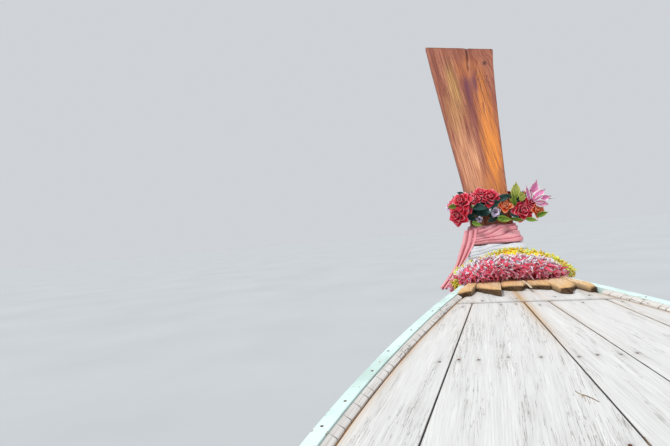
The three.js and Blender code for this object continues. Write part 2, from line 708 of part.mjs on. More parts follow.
function tailTube() {
  const startX = engineShift - 400 - clearance;
  const endX = propellerX + 95;
  const flange = bar([startX, 0, crankHeight], [startX - 22, 0, crankHeight], 95, 20);
  const neck = bar([startX - 20, 0, crankHeight], [startX - 240, 0, crankHeight], 62, 16, 34);
  const main = bar([startX - 200, 0, crankHeight], [endX, 0, crankHeight], 32, 14);
  const bearing = bar([endX + 90, 0, crankHeight], [endX, 0, crankHeight], 42, 14, 38);
  const stays = [1, -1].map((side) => bar([startX - 30, side * 78, crankHeight], [-2100, side * 6, crankHeight - 18], 11, 8));
  const fin = loft([-3, 3].map((y) => [
    [-3380, y, crankHeight - 29], [-3560, y, crankHeight - 178], [-4010, y, crankHeight - 214],
    [-4010, y, crankHeight - 198], [-3770, y, crankHeight - 176], [-3740, y, crankHeight - 29]]));
  const bore = bar([startX - 260, 0, crankHeight], [endX + 12, 0, crankHeight], 27, 12);
  const greaseHole = bar([endX + 160, 0, crankHeight], [endX + 160, 0, crankHeight + 60], 6, 8);
  return join([flange, neck, main, bearing, ...stays, fin]).subtract(bore).subtract(greaseHole);
}

function propellerSolid() {
  const shaft = bar([propellerX + 95 - clearance, 0, crankHeight], [propellerX, 0, crankHeight], 13, 12);
  const hub = bar([propellerX + 48, 0, crankHeight], [propellerX - 42, 0, crankHeight], 31, 16, 24);
  const nut = bar([propellerX - 40, 0, crankHeight], [propellerX - 70, 0, crankHeight], 15, 6);
  // Blade sections: radius, chord, pitch angle in degrees, thickness
  const sections = [[20, 62, 62, 12], [60, 96, 46, 9], [100, 112, 33, 6], [135, 92, 26, 4], [155, 40, 23, 3]];
  const blades = range(3, (i) => {
    const turn = (i / 3) * 2 * Math.PI + 0.2;
    return loft(sections.map(([radius, chord, pitch, thickness]) => {
      const angle = THREE.MathUtils.degToRad(pitch);
      return [[-0.5, 0], [0, -0.5], [0.5, 0], [0, 0.5]].map(([c, t]) => {
        const axial = c * chord * Math.sin(angle) + t * thickness * Math.cos(angle);
        const across = c * chord * Math.cos(angle) - t * thickness * Math.sin(angle);
        return [propellerX + axial,
          radius * Math.cos(turn) - across * Math.sin(turn),
          crankHeight + radius * Math.sin(turn) + across * Math.cos(turn)];
      });
    }));
  });
  return join([shaft, hub, nut, ...blades]);
}

// Cloths and garlands, plain solids that hug the prow

// A band round the prow between two heights; rows are height and how far it stands off
function wrapSolid(rows) {
  const rings = rows.map(([z, off]) => {
    const column = (k) => along(prowLines, k, Math.max(z, prowLines[0][0]));
    const row = prowRow(z, column(1), column(2), column(3), column(4), 0);
    return stemRing(row, off);
  });
  return largest(loft(rings).subtract(prowGrown).subtract(stemGrown));
}

// The pink cloth's end hangs outside the port bow and faces aft; rows are x, y, z of its middle, and half its width
const clothEnd = [
  [4093, 104, 1176, 28],
  [4074, 138, 1124, 28],
  [4056, 170, 1066, 26],
  [4040, 199, 1012, 22],
  [4022, 226, 955, 20],
  [4004, 262, 905, 24],
];
function pinkClothSolid() {
  const band = wrapSolid([[1103, 20], [1150, 13], [1196, 11]]);
  const end = loft(clothEnd.map(([x, y, z, half]) => [[x - 3, y - half, z], [x - 3, y + half, z], [x + 4, y + half, z + 2], [x + 4, y - half, z + 2]]));
  return largest(band.add(end).subtract(prowGrown).subtract(stemGrown));
}

// A solid moved by a little, to cut a gap round what rests on it
const shifted = (solid, x, y, z) => toSolid(toGeometry(solid).translate(x, y, z));

// x, y, z, half width, half height of each loop, from the middle of its aft side to port and round the stem
const yellowLoop = [
  [3797, -20, 1048, 36, 42],
  [3792, 95, 1026, 34, 33],
  [3832, 180, 992, 30, 30],
  [3930, 184, 975, 27, 27],
  [4110, 128, 968, 24, 24],
  [4330, 56, 1004, 20, 20],
  [4330, -56, 1004, 20, 20],
  [4110, -140, 975, 24, 24],
  [3950, -205, 972, 28, 28],
  [3838, -236, 967, 34, 33],
  [3778, -134, 1026, 40, 35],
];
const pinkLoop = [
  [3690, 0, 1022, 44, 44],
  [3688, 105, 1018, 44, 44],
  [3712, 181, 988, 36, 40],
  [3840, 196, 940, 32, 36],
  [4050, 145, 882, 26, 32],
  [4284, 56, 880, 22, 28],
  [4284, -56, 880, 22, 28],
  [4050, -145, 882, 26, 32],
  [3850, -180, 945, 32, 36],
  [3728, -136, 990, 38, 40],
  [3692, -70, 1016, 44, 44],
];
const flowerLoop = [
  [4118, -20, 1318, 46, 44],
  [4112, 100, 1310, 52, 62],
  [4150, 168, 1300, 46, 60],
  [4300, 122, 1330, 24, 26],
  [4480, 40, 1362, 16, 18],
  [4480, -40, 1362, 16, 18],
  [4300, -122, 1330, 24, 26],
  [4150, -190, 1300, 56, 74],
  [4108, -130, 1296, 54, 60],
];
const softGap = 0.4; // between a garland and what it rests on
const garlandRing = (rows, grow = 0) => ringTube(rows.map(([x, y, z, across, up]) => [x, y, z, across + grow, up + grow]), 32, 8);
function hugging(rows, rests, beside = []) {
  const cuts = rests.flatMap((solid) => [[0, 0, softGap], [0, softGap, 0], [0, -softGap, 0]].map((step) => shifted(solid, ...step)));
  return largest([prowGrown, stemGrown, ...cuts, ...beside].reduce((a, b) => a.subtract(b), garlandRing(rows)));
}

// Materials: colour, roughness, metalness
const finishes = {
  paleWood: ["#d9d6d0", 0.85, 0],
  agedWood: ["#9c8a76", 0.85, 0],
  capWood: ["#b98a5c", 0.8, 0],
  prowWood: ["#a5664c", 0.55, 0],
  mintPaint: ["#cfe9e4", 0.6, 0],
  hullPaint: ["#e3e6e0", 0.6, 0],
  bottomPaint: ["#7c3a30", 0.8, 0],
  steel: ["#8d9297", 0.45, 0.9],
  darkSteel: ["#4a4d50", 0.55, 0.8],
  enginePaint: ["#5f6f78", 0.5, 0.2],
  bronze: ["#b08a4a", 0.35, 0.9],
  canvas: ["#3f6f9e", 0.9, 0],
  pinkCloth: ["#cf6f78", 0.9, 0],
  whiteCloth: ["#dfe3ea", 0.9, 0],
  yellowPetals: ["#f0c030", 0.9, 0],
  pinkPetals: ["#e0607c", 0.9, 0],
  flowers: ["#b8304a", 0.8, 0],
};

const boat = new THREE.Group();
const yokeGroup = new THREE.Group();
const tailGroup = new THREE.Group();
tailGroup.position.set(pivotX, 0, pivotZ);
tailGroup.rotation.y = -tailSlope;
boat.add(yokeGroup, tailGroup);

function add(name, solid, finish, group = boat) {
  const [color, roughness, metalness] = finishes[finish];
  const mesh = new THREE.Mesh(toGeometry(solid), new THREE.MeshStandardMaterial({ color, roughness, metalness }));
  mesh.name = name;
  group.add(mesh);
}

add("keel", keelSolid(), "bottomPaint");
add("stem", stemSolid(), "agedWood");
add("prow_post", prowSolid(), "prowWood");
const bowPlanks = [];
for (const [side, label] of [[1, "port"], [-1, "starboard"]]) {
  const fitted = (...plank) => largest(strake(side, ...plank).subtract(keelGrown).subtract(stemGrown).subtract(prowGrown));
  const butt = stationXs[buttStation];
  for (const [end, from, to] of [["aft", transomX, butt - clearance / 2], ["fore", butt + clearance / 2, stationXs.at(-1)]]) {
    add(`bottom_planks_${label}_${end}`, fitted(0, 0.4, 3, from, to), "bottomPaint");
    add(`side_planks_${label}_${end}`, fitted(0.4, 0.8, 3, from, to), "hullPaint");
  }
  bowPlanks.push(fitted(0.8, 1, 2));
  add(`sheer_plank_${label}`, bowPlanks.at(-1), "mintPaint");
  add(`ledge_${label}`, ledgeSolid(side), "agedWood");
}
add("transom", transomSolid(), "hullPaint");
add("ribs", ribsSolid(), "agedWood");
deckSeams.concat([0]).forEach((_, i) => add(`deck_board_${i + 1}`, deckBoard(i), "paleWood"));
const bowPiece = crossPiece();
add("cross_piece", bowPiece, "paleWood");
add("deck_frame", deckFrame(), "agedWood");
const caps = capBoards.map(capBoard);
caps.forEach((cap, i) => add(`cap_board_${i + 1}`, cap, "capWood"));
const bowRests = [...bowPlanks, ...caps, bowPiece];
add("floor_boards", soleSolid(), "agedWood");
benchXs.forEach((x, i) => add(`bench_${i + 1}`, benchSolid(x), "agedWood"));
add("aft_deck", aftDeckSolid(), "agedWood");
add("canopy_frame", canopyFrame(), "steel");
add("canopy", canopySolid(), "canvas");
add("engine_beam", engineBeam(), "agedWood");
add("swivel_post", swivelPost(), "darkSteel");
add("pink_cloth", pinkClothSolid(), "pinkCloth");
add("white_cloth", wrapSolid([[1030, 34], [1065, 28], [1101, 20]]), "whiteCloth");
add("yellow_garland", hugging(yellowLoop, bowRests), "yellowPetals");
add("pink_garland", hugging(pinkLoop, bowRests, [garlandRing(yellowLoop, softGap)]), "pinkPetals");
add("flower_garland", hugging(flowerLoop, []), "flowers");
add("yoke", yokeSolid(), "darkSteel", yokeGroup);
add("engine_cradle", cradleSolid(), "darkSteel", tailGroup);
add("engine", engineSolid(), "enginePaint", tailGroup);
add("exhaust", exhaustSolid(), "steel", tailGroup);
add("tiller", tillerSolid(), "darkSteel", tailGroup);
add("tail_tube", tailTube(), "steel", tailGroup);
add("propeller", propellerSolid(), "bronze", tailGroup);

export default boat;
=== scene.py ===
import bpy
import bmesh
import numpy as np
from functools import partial
from mathutils import Matrix, Vector


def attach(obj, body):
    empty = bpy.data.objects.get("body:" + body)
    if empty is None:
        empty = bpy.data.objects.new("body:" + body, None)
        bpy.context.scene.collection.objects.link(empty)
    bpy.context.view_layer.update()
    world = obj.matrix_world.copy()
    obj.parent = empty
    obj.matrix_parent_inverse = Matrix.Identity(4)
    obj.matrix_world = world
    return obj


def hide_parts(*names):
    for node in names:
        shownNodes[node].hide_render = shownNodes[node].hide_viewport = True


# A wooden longtail boat seen from its own foredeck. Metres, +X forward, +Y port, +Z up, waterline at z = 0.

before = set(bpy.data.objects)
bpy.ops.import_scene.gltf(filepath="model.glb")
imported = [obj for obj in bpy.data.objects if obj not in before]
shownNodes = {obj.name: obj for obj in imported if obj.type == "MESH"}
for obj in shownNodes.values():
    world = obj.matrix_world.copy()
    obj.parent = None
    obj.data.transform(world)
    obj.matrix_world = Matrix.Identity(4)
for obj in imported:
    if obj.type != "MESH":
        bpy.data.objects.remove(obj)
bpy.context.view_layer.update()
print("frame loaded:", len(shownNodes), "nodes")


# A colour: each sRGB channel c becomes c / 12.92 when dark, and ((c + .055) / 1.055) ** 2.4 otherwise
def hexColour(text):
    channels = [int(text[i:i + 2], 16) / 255 for i in (1, 3, 5)]
    return (*(c / 12.92 if c <= .04045 else ((c + .055) / 1.055) ** 2.4 for c in channels), 1.0)


# One node with its settings. An input is a fixed value or another node's output, which is linked; stops are a ramp's
# places and colours. It gives back the output asked for
def addNode(tree, kind, inputs, out=0, stops=(), **settings):
    node = tree.nodes.new("ShaderNode" + kind)
    for name, value in settings.items():
        setattr(node, name, value)
    for extra in stops[2:]:
        node.color_ramp.elements.new(1)
    for number, (place, colour) in enumerate(stops):
        node.color_ramp.elements[number].position = place
        node.color_ramp.elements[number].color = hexColour(colour)
    for socket, value in inputs.items():
        if isinstance(value, bpy.types.NodeSocket):
            tree.links.new(value, node.inputs[socket])
        else:
            node.inputs[socket].default_value = value
    return node.outputs[out] if node.outputs else node


# An empty material for a slot, and the function that adds nodes to it
def newMaterial(name):
    material = bpy.data.materials.new(name)
    material.use_nodes = True
    material.node_tree.nodes.clear()
    return material, partial(addNode, material.node_tree)


# A smooth curve through points: each span is half of 2b + (c - a)t + (2a - 5b + 4c - d)t^2 + (3b - a - 3c + d)t^3
def curveThrough(points, count, closed=False):
    points = np.asarray(points, float)
    n = len(points)
    spans = n if closed else n - 1
    place = np.arange(count) * spans / count if closed else np.linspace(0, spans, count)
    i = np.minimum(place.astype(int), spans - 1)
    t = (place - i)[:, None]
    a, b, c, d = (points[(i + k) % n if closed else np.clip(i + k, 0, n - 1)] for k in (-1, 0, 1, 2))
    return .5 * (2 * b + (c - a) * t + (2 * a - 5 * b + 4 * c - d) * t**2 + (3 * b - a - 3 * c + d) * t**3)


# Distance from the first point along a line of points
def distances(points):
    return np.concatenate([[0], np.cumsum(np.linalg.norm(np.diff(points, axis=0), axis=1))])


# Directions made one long
def unit(directions):
    directions = np.asarray(directions, float)
    return directions / np.linalg.norm(directions, axis=-1, keepdims=True)


# Cosines and sines of even steps round a circle
def circle(count, start=0.0):
    angle = start + np.arange(count) * 2 * np.pi / count
    return np.cos(angle), np.sin(angle)


# A circle of points round a place, square to an axis
def circleOf(place, radius, count, axis=0, start=0.0):
    points = np.zeros((count, 3))
    points[:, (axis + 1) % 3], points[:, (axis + 2) % 3] = radius * np.array(circle(count, start))
    return points + place


# Soft bumps: a sum of a few sines of the place, between about -1 and 1, the same each run
def ripple(a, b=0.0, seed=0.0):
    a, b = np.asarray(a, float), np.asarray(b, float)
    total = 0
    for k in range(1, 5):
        turn = seed * 1.7 + k * 2.4
        total = total + np.sin(a * (.7 * k + .6) + turn + 1.3 * np.sin(b * (.5 * k + .4) + turn)) / k
    return total / 1.6


# The faces of a grid of point numbers
def gridQuads(index):
    return np.stack([index[:-1, :-1], index[:-1, 1:], index[1:, 1:], index[1:, :-1]], -1).reshape(-1, 4)


# A shell is a dict of points, quads, caps (lists of point numbers) and uv, one pair for each face corner.
# sweep joins rings of points: u is the distance along the middle line, v the distance round each ring
def sweep(rings, closed=False, lengthwise=None):
    rings = np.asarray(rings, float)
    n, k = rings.shape[:2]
    index = np.arange(n * k).reshape(n, k)
    rows = np.arange(n if closed else n - 1)
    a, b = index[rows], index[(rows + 1) % n]
    quads = np.stack([a, np.roll(a, -1, 1), np.roll(b, -1, 1), b], -1).reshape(-1, 4)
    centre = rings.mean(1)
    step = np.linalg.norm(np.roll(centre, -1, 0) - centre, axis=1)
    u = np.concatenate([[0], np.cumsum(step)]) if lengthwise is None else np.append(lengthwise, lengthwise[-1])
    edge = np.linalg.norm(np.roll(rings, -1, 1) - rings, axis=2)
    v = np.concatenate([np.zeros((n, 1)), np.cumsum(edge, 1)], 1)
    here, there = v[rows], v[(rows + 1) % n]
    near, far = (np.repeat(w[:, None], k, 1) for w in (u[rows], u[rows + 1]))
    uv = np.stack([near, here[:, :-1], near, here[:, 1:], far, there[:, 1:], far, there[:, :-1]], -1).reshape(-1, 2)
    caps = [] if closed else [index[0][::-1], index[-1]]
    for ring, order in zip((rings[0], rings[-1]), caps):
        across = ring[k // 4] - ring[0]
        across = across / max(np.linalg.norm(across), 1e-9)
        other = ring[k // 2] - ring[0]
        other = other - across * (other @ across)
        other = other / max(np.linalg.norm(other), 1e-9)
        flat = rings.reshape(-1, 3)[order] - ring[0]
        uv = np.concatenate([uv, np.stack([flat @ across, flat @ other], -1)])
    return {"points": rings.reshape(-1, 3), "quads": quads, "caps": caps, "uv": uv}


# An open sheet over a grid of points, with u and v as the distances along its two middle lines
def sheetShell(grid):
    n, k = grid.shape[:2]
    quads = gridQuads(np.arange(n * k).reshape(n, k))
    pairs = np.stack(np.meshgrid(distances(grid[:, k // 2]), distances(grid[n // 2]), indexing="ij"), -1)
    return {"points": grid.reshape(-1, 3), "quads": quads, "caps": [], "uv": pairs.reshape(-1, 2)[quads.reshape(-1)]}


# Several shells as one; each is moved along in u and v so that no two share their grain
def joined(shells, shift=.37):
    starts = np.cumsum([0] + [len(shell["points"]) for shell in shells])
    pairs = [shell["uv"] + [number * 1.7 * shift, number * shift] for number, shell in enumerate(shells)]
    split = [4 * len(shell["quads"]) for shell in shells]
    return {"points": np.concatenate([shell["points"] for shell in shells]),
            "quads": np.concatenate([shell["quads"] + start for shell, start in zip(shells, starts)]),
            "caps": [np.asarray(cap) + start for shell, start in zip(shells, starts) for cap in shell["caps"]],
            "uv": np.concatenate([uv[:at] for uv, at in zip(pairs, split)] + [uv[at:] for uv, at in zip(pairs, split)])}


# Directions square to a path, each worked out from the path's own heading and one that is up
def framesAlong(path, closed=False, up=(0, 0, 1)):
    ahead = unit(np.roll(path, -1, 0) - np.roll(path, 1, 0) if closed else np.gradient(path, axis=0))
    across = np.cross(ahead, np.asarray(up, float))
    weak = np.linalg.norm(across, axis=1) < .05
    across[weak] = np.cross(ahead[weak], [1.0, 0, 0])
    across = unit(across)
    return ahead, across, np.cross(across, ahead)


# A round bar along a path. Its radius is one number, one for each point, or a width and a height for each point
def roundBar(path, radius, sides=16, closed=False, up=(0, 0, 1)):
    path = np.asarray(path, float)
    _, across, over = framesAlong(path, closed, up)
    wide, high = np.broadcast_to(np.asarray(radius, float).T, (2, len(path)))[..., None, None]
    cosine, sine = (part[:, None] for part in circle(sides))
    return sweep(path[:, None] + wide * cosine * across[:, None] + high * sine * over[:, None], closed)


# A turned piece: rows of distance along the axis and radius, spun about the line from start towards end
def turned(start, end, rows, sides=24):
    start = np.asarray(start, float)
    axis = unit(end - start)
    across = np.cross(axis, [0, 0, 1.0])
    if np.linalg.norm(across) < .05:
        across = np.cross(axis, [1.0, 0, 0])
    across = unit(across)
    cosine, sine = (part[:, None] for part in circle(sides))
    along, radius = np.asarray(rows, float).T[:, :, None, None]
    return sweep(start + along * axis + radius * (cosine * across + sine * np.cross(axis, across)))


# The same turned piece at several places, all standing along one direction
def bored(places, axis, rows, sides=24):
    return [turned(place, np.asarray(place, float) + axis, rows, sides) for place in places]


# A rounded block: rounded rectangles carried along an axis, drawn in along a quarter circle at both ends
def blockShell(low, high, corner=.008, edge=.003, axis=0, turns=4):
    order = [axis, (axis + 1) % 3, (axis + 2) % 3]
    (a0, b0, c0), (a1, b1, c1) = (np.asarray(corners, float)[order] for corners in (low, high))
    swing = np.linspace(0, np.pi / 2, turns)
    place = np.concatenate([a0 + edge * (1 - np.cos(swing)), a1 - edge * (1 - np.cos(swing[::-1]))])[:, None]
    inset = edge * (1 - np.sin(np.concatenate([swing, swing[::-1]])))[:, None]
    angle = np.concatenate([swing + k * np.pi / 2 for k in range(4)])[None, :]
    signB, signC = (np.repeat(signs, turns)[None, :] for signs in ([1, -1, -1, 1], [1, 1, -1, -1]))
    radius = np.maximum(corner - inset, corner * .3)
    rings = np.empty((2 * turns, 4 * turns, 3))
    rings[..., order[0]] = place
    rings[..., order[1]] = (b0 + b1) / 2 + signB * ((b1 - b0) / 2 - inset - radius) + radius * np.cos(angle)
    rings[..., order[2]] = (c0 + c1) / 2 + signC * ((c1 - c0) / 2 - inset - radius) + radius * np.sin(angle)
    return sweep(rings)


# Hexagon bolts standing along an axis: a washer, a chamfered head and the thread's rounded end at each place
boltRows = [[16, [[-.1, .78], [.1, .78], [.14, .74]]], [6, [[.1, .56], [.6, .56], [.72, .47]]],
            [10, [[.6, .3], [.92, .3], [.98, .22]]]]


def boltShell(places, axis, size=.018):
    return joined([shell for place in np.atleast_2d(np.asarray(places, float)) for sides, rows in boltRows
                   for shell in bored([place], axis, np.array(rows) * size, sides)])


# A weld bead: a thin bar along a path whose radius swells and shrinks with each ripple of the weld
def weldShell(path, radius=.004, step=.006):
    path = np.asarray(path, float)
    places = distances(path)
    at = np.linspace(0, places[-1], max(int(places[-1] / step * 4), 8))
    line = np.stack([np.interp(at, places, path[:, k]) for k in range(3)], -1)
    return roundBar(line, radius * (1 + .16 * np.sin(at / step * 2 * np.pi) + .1 * ripple(at * 40)), 8)


# A mesh shown as a piece: sharp where its faces meet at more than an angle, given a wall or rounded edges, riding on
# a body and standing for the nodes
def finishPiece(name, mesh, materials, nodes, body, sharp, bevel, thick=0):
    for material in materials:
        mesh.materials.append(material)
    mesh.shade_smooth()
    if sharp:
        mesh.set_sharp_from_angle(angle=np.radians(sharp))
    piece = bpy.data.objects.new(name, mesh)
    bpy.context.scene.collection.objects.link(piece)
    if thick:
        solid = piece.modifiers.new("Thickness", "SOLIDIFY")
        solid.thickness = thick
        solid.offset = 0
    if bevel:
        rounding = piece.modifiers.new("Rounded edges", "BEVEL")
        rounding.width = bevel
        rounding.segments = 2
        rounding.limit_method = "ANGLE"
        rounding.angle_limit = np.radians(40)
    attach(piece, body)
    if nodes:
        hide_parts(*nodes)
    return piece


# A piece from shells; marks are attributes with one value for each point. An open sheet keeps the way it faces
def makePiece(name, shells, materials, nodes=(), marks={}, body="hull", sharp=30, bevel=0, thick=0, outward=True):
    shell = joined(shells) if isinstance(shells, list) else shells
    mesh = bpy.data.meshes.new(name)
    mesh.from_pydata(shell["points"].tolist(), [], shell["quads"].tolist() + [cap.tolist() for cap in shell["caps"]])
    mesh.uv_layers.new(name="UVMap").uv.foreach_set("vector", shell["uv"].astype(np.float32).reshape(-1))
    for mark, values in marks.items():
        attribute = mesh.attributes.new(mark, "FLOAT", "POINT")
        attribute.data.foreach_set("value", np.asarray(values, np.float32).reshape(-1))
    if outward:
        edit = bmesh.new()
        edit.from_mesh(mesh)
        bmesh.ops.recalc_face_normals(edit, faces=edit.faces)
        edit.to_mesh(mesh)
        edit.free()
    return finishPiece(name, mesh, materials if isinstance(materials, list) else [materials], nodes, body, sharp, bevel,
                       thick)


# A piece's name from its node's
def titled(node):
    return node.replace("_", " ").title().replace(" ", "")


# A copy of a CAD node: its mesh merged, its edges rounded
def dressedCopy(node, material, bevel, body="hull"):
    mesh = shownNodes[node].data.copy()
    mesh.materials.clear()
    edit = bmesh.new()
    edit.from_mesh(mesh)
    bmesh.ops.remove_doubles(edit, verts=edit.verts, dist=1e-5)
    bmesh.ops.dissolve_limit(edit, angle_limit=np.radians(.5), verts=edit.verts, edges=edit.edges)
    edit.to_mesh(mesh)
    edit.free()
    finishPiece(titled(node), mesh, [material], [node], body, 35, bevel)


# Finishes. Each pattern's scale comes from a real size, in metres


# Sawn wood: fibres are noise stretched along the grain, figure is a slower noise, and cracks are the thin
# lines where a third stretched noise passes its middle value. The eye sees soft streaks with sharp dark checks
def sawnWood(name, look):
    look = {**woods["all"], **look}
    light, middle, dark, figureDark, crackTone = look["tones"]
    long, wide = look["fibre"]
    crackLong, crackWide, crackWidth, crackFrom = look["crack"]
    material, add = newMaterial(name)
    source = add("TexCoord", {}, look["coords"])
    lined = add("Mapping", {"Vector": source, "Rotation": (0, 0, np.radians(look["turn"]))})
    layers = []
    for part, along, across, detail in (("fibre", long, wide, 9), ("figure", long * 5, wide * 9, 3),
                                        ("crack", crackLong, crackWide, 3),
                                        ("where", crackLong * 1.6, crackWide * 7, 2)):
        scaled = add("Mapping", {"Vector": lined, "Scale": (1 / along, 1 / across, 1 / across),
                                 "Location": (len(part) * 3.1, len(name), 0)})
        layers.append(add("TexNoise", {"Vector": scaled, "Scale": 1, "Detail": detail, "Roughness": .62,
                                       "Distortion": look["wander"]}))
    fibre, figure, crack, where = layers
    streaks = add("ValToRGB", {0: fibre}, stops=[(.28, dark), (.5, middle), (.72, light)])
    tinted = add("ValToRGB", {0: figure}, stops=[(.3, figureDark), (.7, "#FFFFFF")])
    colour = add("Mix", {0: look["figure"], 6: streaks, 7: tinted}, 2, data_type="RGBA", blend_type="MULTIPLY")
    offMiddle = add("Math", {0: crack, 1: .5}, operation="SUBTRACT")
    distance = add("Math", {0: offMiddle}, operation="ABSOLUTE")
    thin = add("MapRange", {0: distance, 1: crackWidth * .3, 2: crackWidth, 3: 1, 4: 0},
               interpolation_type="SMOOTHSTEP")
    some = add("MapRange", {0: where, 1: crackFrom, 2: crackFrom + .1})
    crack = add("Math", {0: thin, 1: some}, operation="MULTIPLY")
    strength = add("Math", {0: crack, 1: look["crackDark"]}, operation="MULTIPLY")
    colour = add("Mix", {0: strength, 6: colour, 7: hexColour(crackTone)}, 2, data_type="RGBA")
    for mark, tone in look["marks"].items():
        amount = add("Attribute", {}, "Fac", attribute_name=mark)
        uneven = add("MapRange", {0: fibre, 1: .36, 2: .62, 3: look["markGap"], 4: 1.05})
        soaked = add("Math", {0: amount, 1: uneven}, operation="MULTIPLY", use_clamp=True)
        colour = add("Mix", {0: soaked, 6: colour, 7: hexColour(tone)}, 2, data_type="RGBA")
    rough = add("MapRange", {0: fibre, 1: .3, 2: .7, 3: look["rough"][0], 4: look["rough"][1]})
    sunk = add("Math", {0: crack, 1: -1.5, 2: fibre}, operation="MULTIPLY_ADD")
    bump = add("Bump", {"Strength": look["bump"], "Distance": look["relief"], "Height": sunk})
    surface = add("BsdfPrincipled", {"IOR": 1.5, "Specular IOR Level": look["shine"], "Base Color": colour,
                                     "Roughness": rough, "Normal": bump})
    add("OutputMaterial", {"Surface": surface})
    return material


# Brushed paint on wood or steel: brush marks are noise stretched along the stroke, chips are where a fine
# noise passes a limit that the "edge" attribute lowers, and a slow noise fades and soils the coat
def brushedPaint(name, look):
    look = {**paints["all"], **look}
    paint, faded, soiled, under, underDark = look["tones"]
    strokeLong, strokeWide = look["stroke"]
    chipSize, chipFrom = look["chip"]
    material, add = newMaterial(name)
    source = add("TexCoord", {}, look["coords"])
    strokes = add("Mapping", {"Vector": source, "Scale": (1 / strokeLong, 1 / strokeWide, 1 / strokeWide)})
    brush, fade, fine = (add("TexNoise", {"Vector": place, "Scale": 1 / size, "Detail": detail, "Roughness": rough,
                                          "Distortion": wander}) for place, size, detail, rough,
                         wander in ((strokes, 1, 6, .6, 0), (source, look["fade"], 5, .6, .4), (source, chipSize, 7, .7,
                                                                                                .2)))
    coat = add("ValToRGB", {0: fade}, stops=[(.3, soiled), (.48, paint), (.75, faded)])
    streaks = add("MapRange", {0: brush, 1: .3, 2: .7, 3: .9, 4: 1.04})
    coat = add("Mix", {0: .6, 6: coat, 7: streaks}, 2, data_type="RGBA", blend_type="MULTIPLY")
    edge = add("Attribute", {}, "Fac", attribute_name="edge")
    worn = add("Math", {0: edge, 1: look["edgeWear"], 2: fine}, operation="MULTIPLY_ADD")
    chips = add("MapRange", {0: worn, 1: chipFrom, 2: chipFrom + .02})
    bare = add("ValToRGB", {0: brush}, stops=[(.35, underDark), (.65, under)])
    colour = add("Mix", {0: chips, 6: coat, 7: bare}, 2, data_type="RGBA")
    for mark, tone in look["marks"].items():
        amount = add("Attribute", {}, "Fac", attribute_name=mark)
        soaked = add("Math", {0: amount, 1: brush}, operation="MULTIPLY", use_clamp=True)
        colour = add("Mix", {0: soaked, 6: colour, 7: hexColour(tone)}, 2, data_type="RGBA")
    rough = add("MapRange", {0: fade, 1: .3, 2: .7, 3: look["rough"][0], 4: look["rough"][1]})
    height = add("Math", {0: chips, 1: -1, 2: brush}, operation="MULTIPLY_ADD")
    bump = add("Bump", {"Strength": .4, "Distance": look["relief"], "Height": height})
    surface = add("BsdfPrincipled", {"IOR": 1.5, "Metallic": 0, "Specular IOR Level": .45, "Base Color": colour,
                                     "Roughness": rough, "Normal": bump})
    add("OutputMaterial", {"Surface": surface})
    return material


# Bare metal: a slow noise shifts the tone, cells draw zinc spangle where asked, and rust grows where noise is high
def bareMetal(name, look):
    dark, light, rustTone = look["tones"]
    toneSize, cellSize, rustSize = look["sizes"]
    material, add = newMaterial(name)
    source = add("TexCoord", {}, "Object")
    tone = add("TexNoise", {"Vector": source, "Scale": 1 / toneSize, "Detail": 6, "Roughness": .65})
    cells = add("TexVoronoi", {"Vector": source, "Scale": 1 / cellSize}, "Color")
    mixed = add("Mix", {0: look["cellShare"], 2: tone, 3: add("SeparateColor", {0: cells})}, data_type="FLOAT")
    base = add("ValToRGB", {0: mixed}, stops=[(.25, dark), (.75, light)])
    rustNoise = add("TexNoise", {"Vector": source, "Scale": 1 / rustSize, "Detail": 8, "Roughness": .7,
                                 "Distortion": .5})
    rust = add("MapRange", {0: rustNoise, 1: look["rustFrom"], 2: look["rustFrom"] + .09})
    colour = add("Mix", {0: rust, 6: base, 7: hexColour(rustTone)}, 2, data_type="RGBA")
    smooth = add("MapRange", {0: mixed, 1: .2, 2: .8, 3: look["rough"][0], 4: look["rough"][1]})
    rough = add("Mix", {0: rust, 2: smooth, 3: .85}, data_type="FLOAT")
    bump = add("Bump", {"Strength": .35, "Distance": look["relief"], "Height": rustNoise})
    surface = add("BsdfPrincipled", {"Metallic": look["metallic"], "Base Color": colour, "Roughness": rough,
                                     "Normal": bump})
    add("OutputMaterial", {"Surface": surface})
    return material


# Woven cloth: threads are two crossed waves on the piece's own UV; the "fold" attribute mixes in the deep tone, painted
# shade in the folds of the wraps and darker seam lines on the canopy
def wovenCloth(name, look):
    dark, light, deep = look["tones"]
    material, add = newMaterial(name)
    source = add("TexCoord", {}, "UV")
    threads = [add("TexWave", {"Vector": source, "Scale": .314 / look["thread"], "Distortion": .6, "Detail": 1,
                               "Detail Scale": 2}, "Fac", bands_direction=direction) for direction in ("X", "Y")]
    weave = add("Math", dict(enumerate(threads)), operation="MULTIPLY")
    slow = add("TexNoise", {"Vector": source, "Scale": 1 / look["fade"], "Detail": 4, "Roughness": .6})
    base = add("ValToRGB", {0: slow}, stops=[(.3, dark), (.7, light)])
    fold = add("Attribute", {}, "Fac", attribute_name="fold")
    shaded = add("Mix", {0: fold, 6: base, 7: hexColour(deep)}, 2, data_type="RGBA")
    tiny = add("MapRange", {0: weave, 3: .86, 4: 1.06})
    colour = add("Mix", {0: 1, 6: shaded, 7: tiny}, 2, data_type="RGBA", blend_type="MULTIPLY")
    bump = add("Bump", {"Strength": .5, "Distance": look["relief"], "Height": weave})
    surface = add("BsdfPrincipled", {"IOR": 1.5, "Specular IOR Level": .2, "Roughness": look["rough"],
                                     "Sheen Weight": look["sheen"], "Sheen Roughness": .5, "Base Color": colour,
                                     "Normal": bump})
    add("OutputMaterial", {"Surface": surface})
    return material


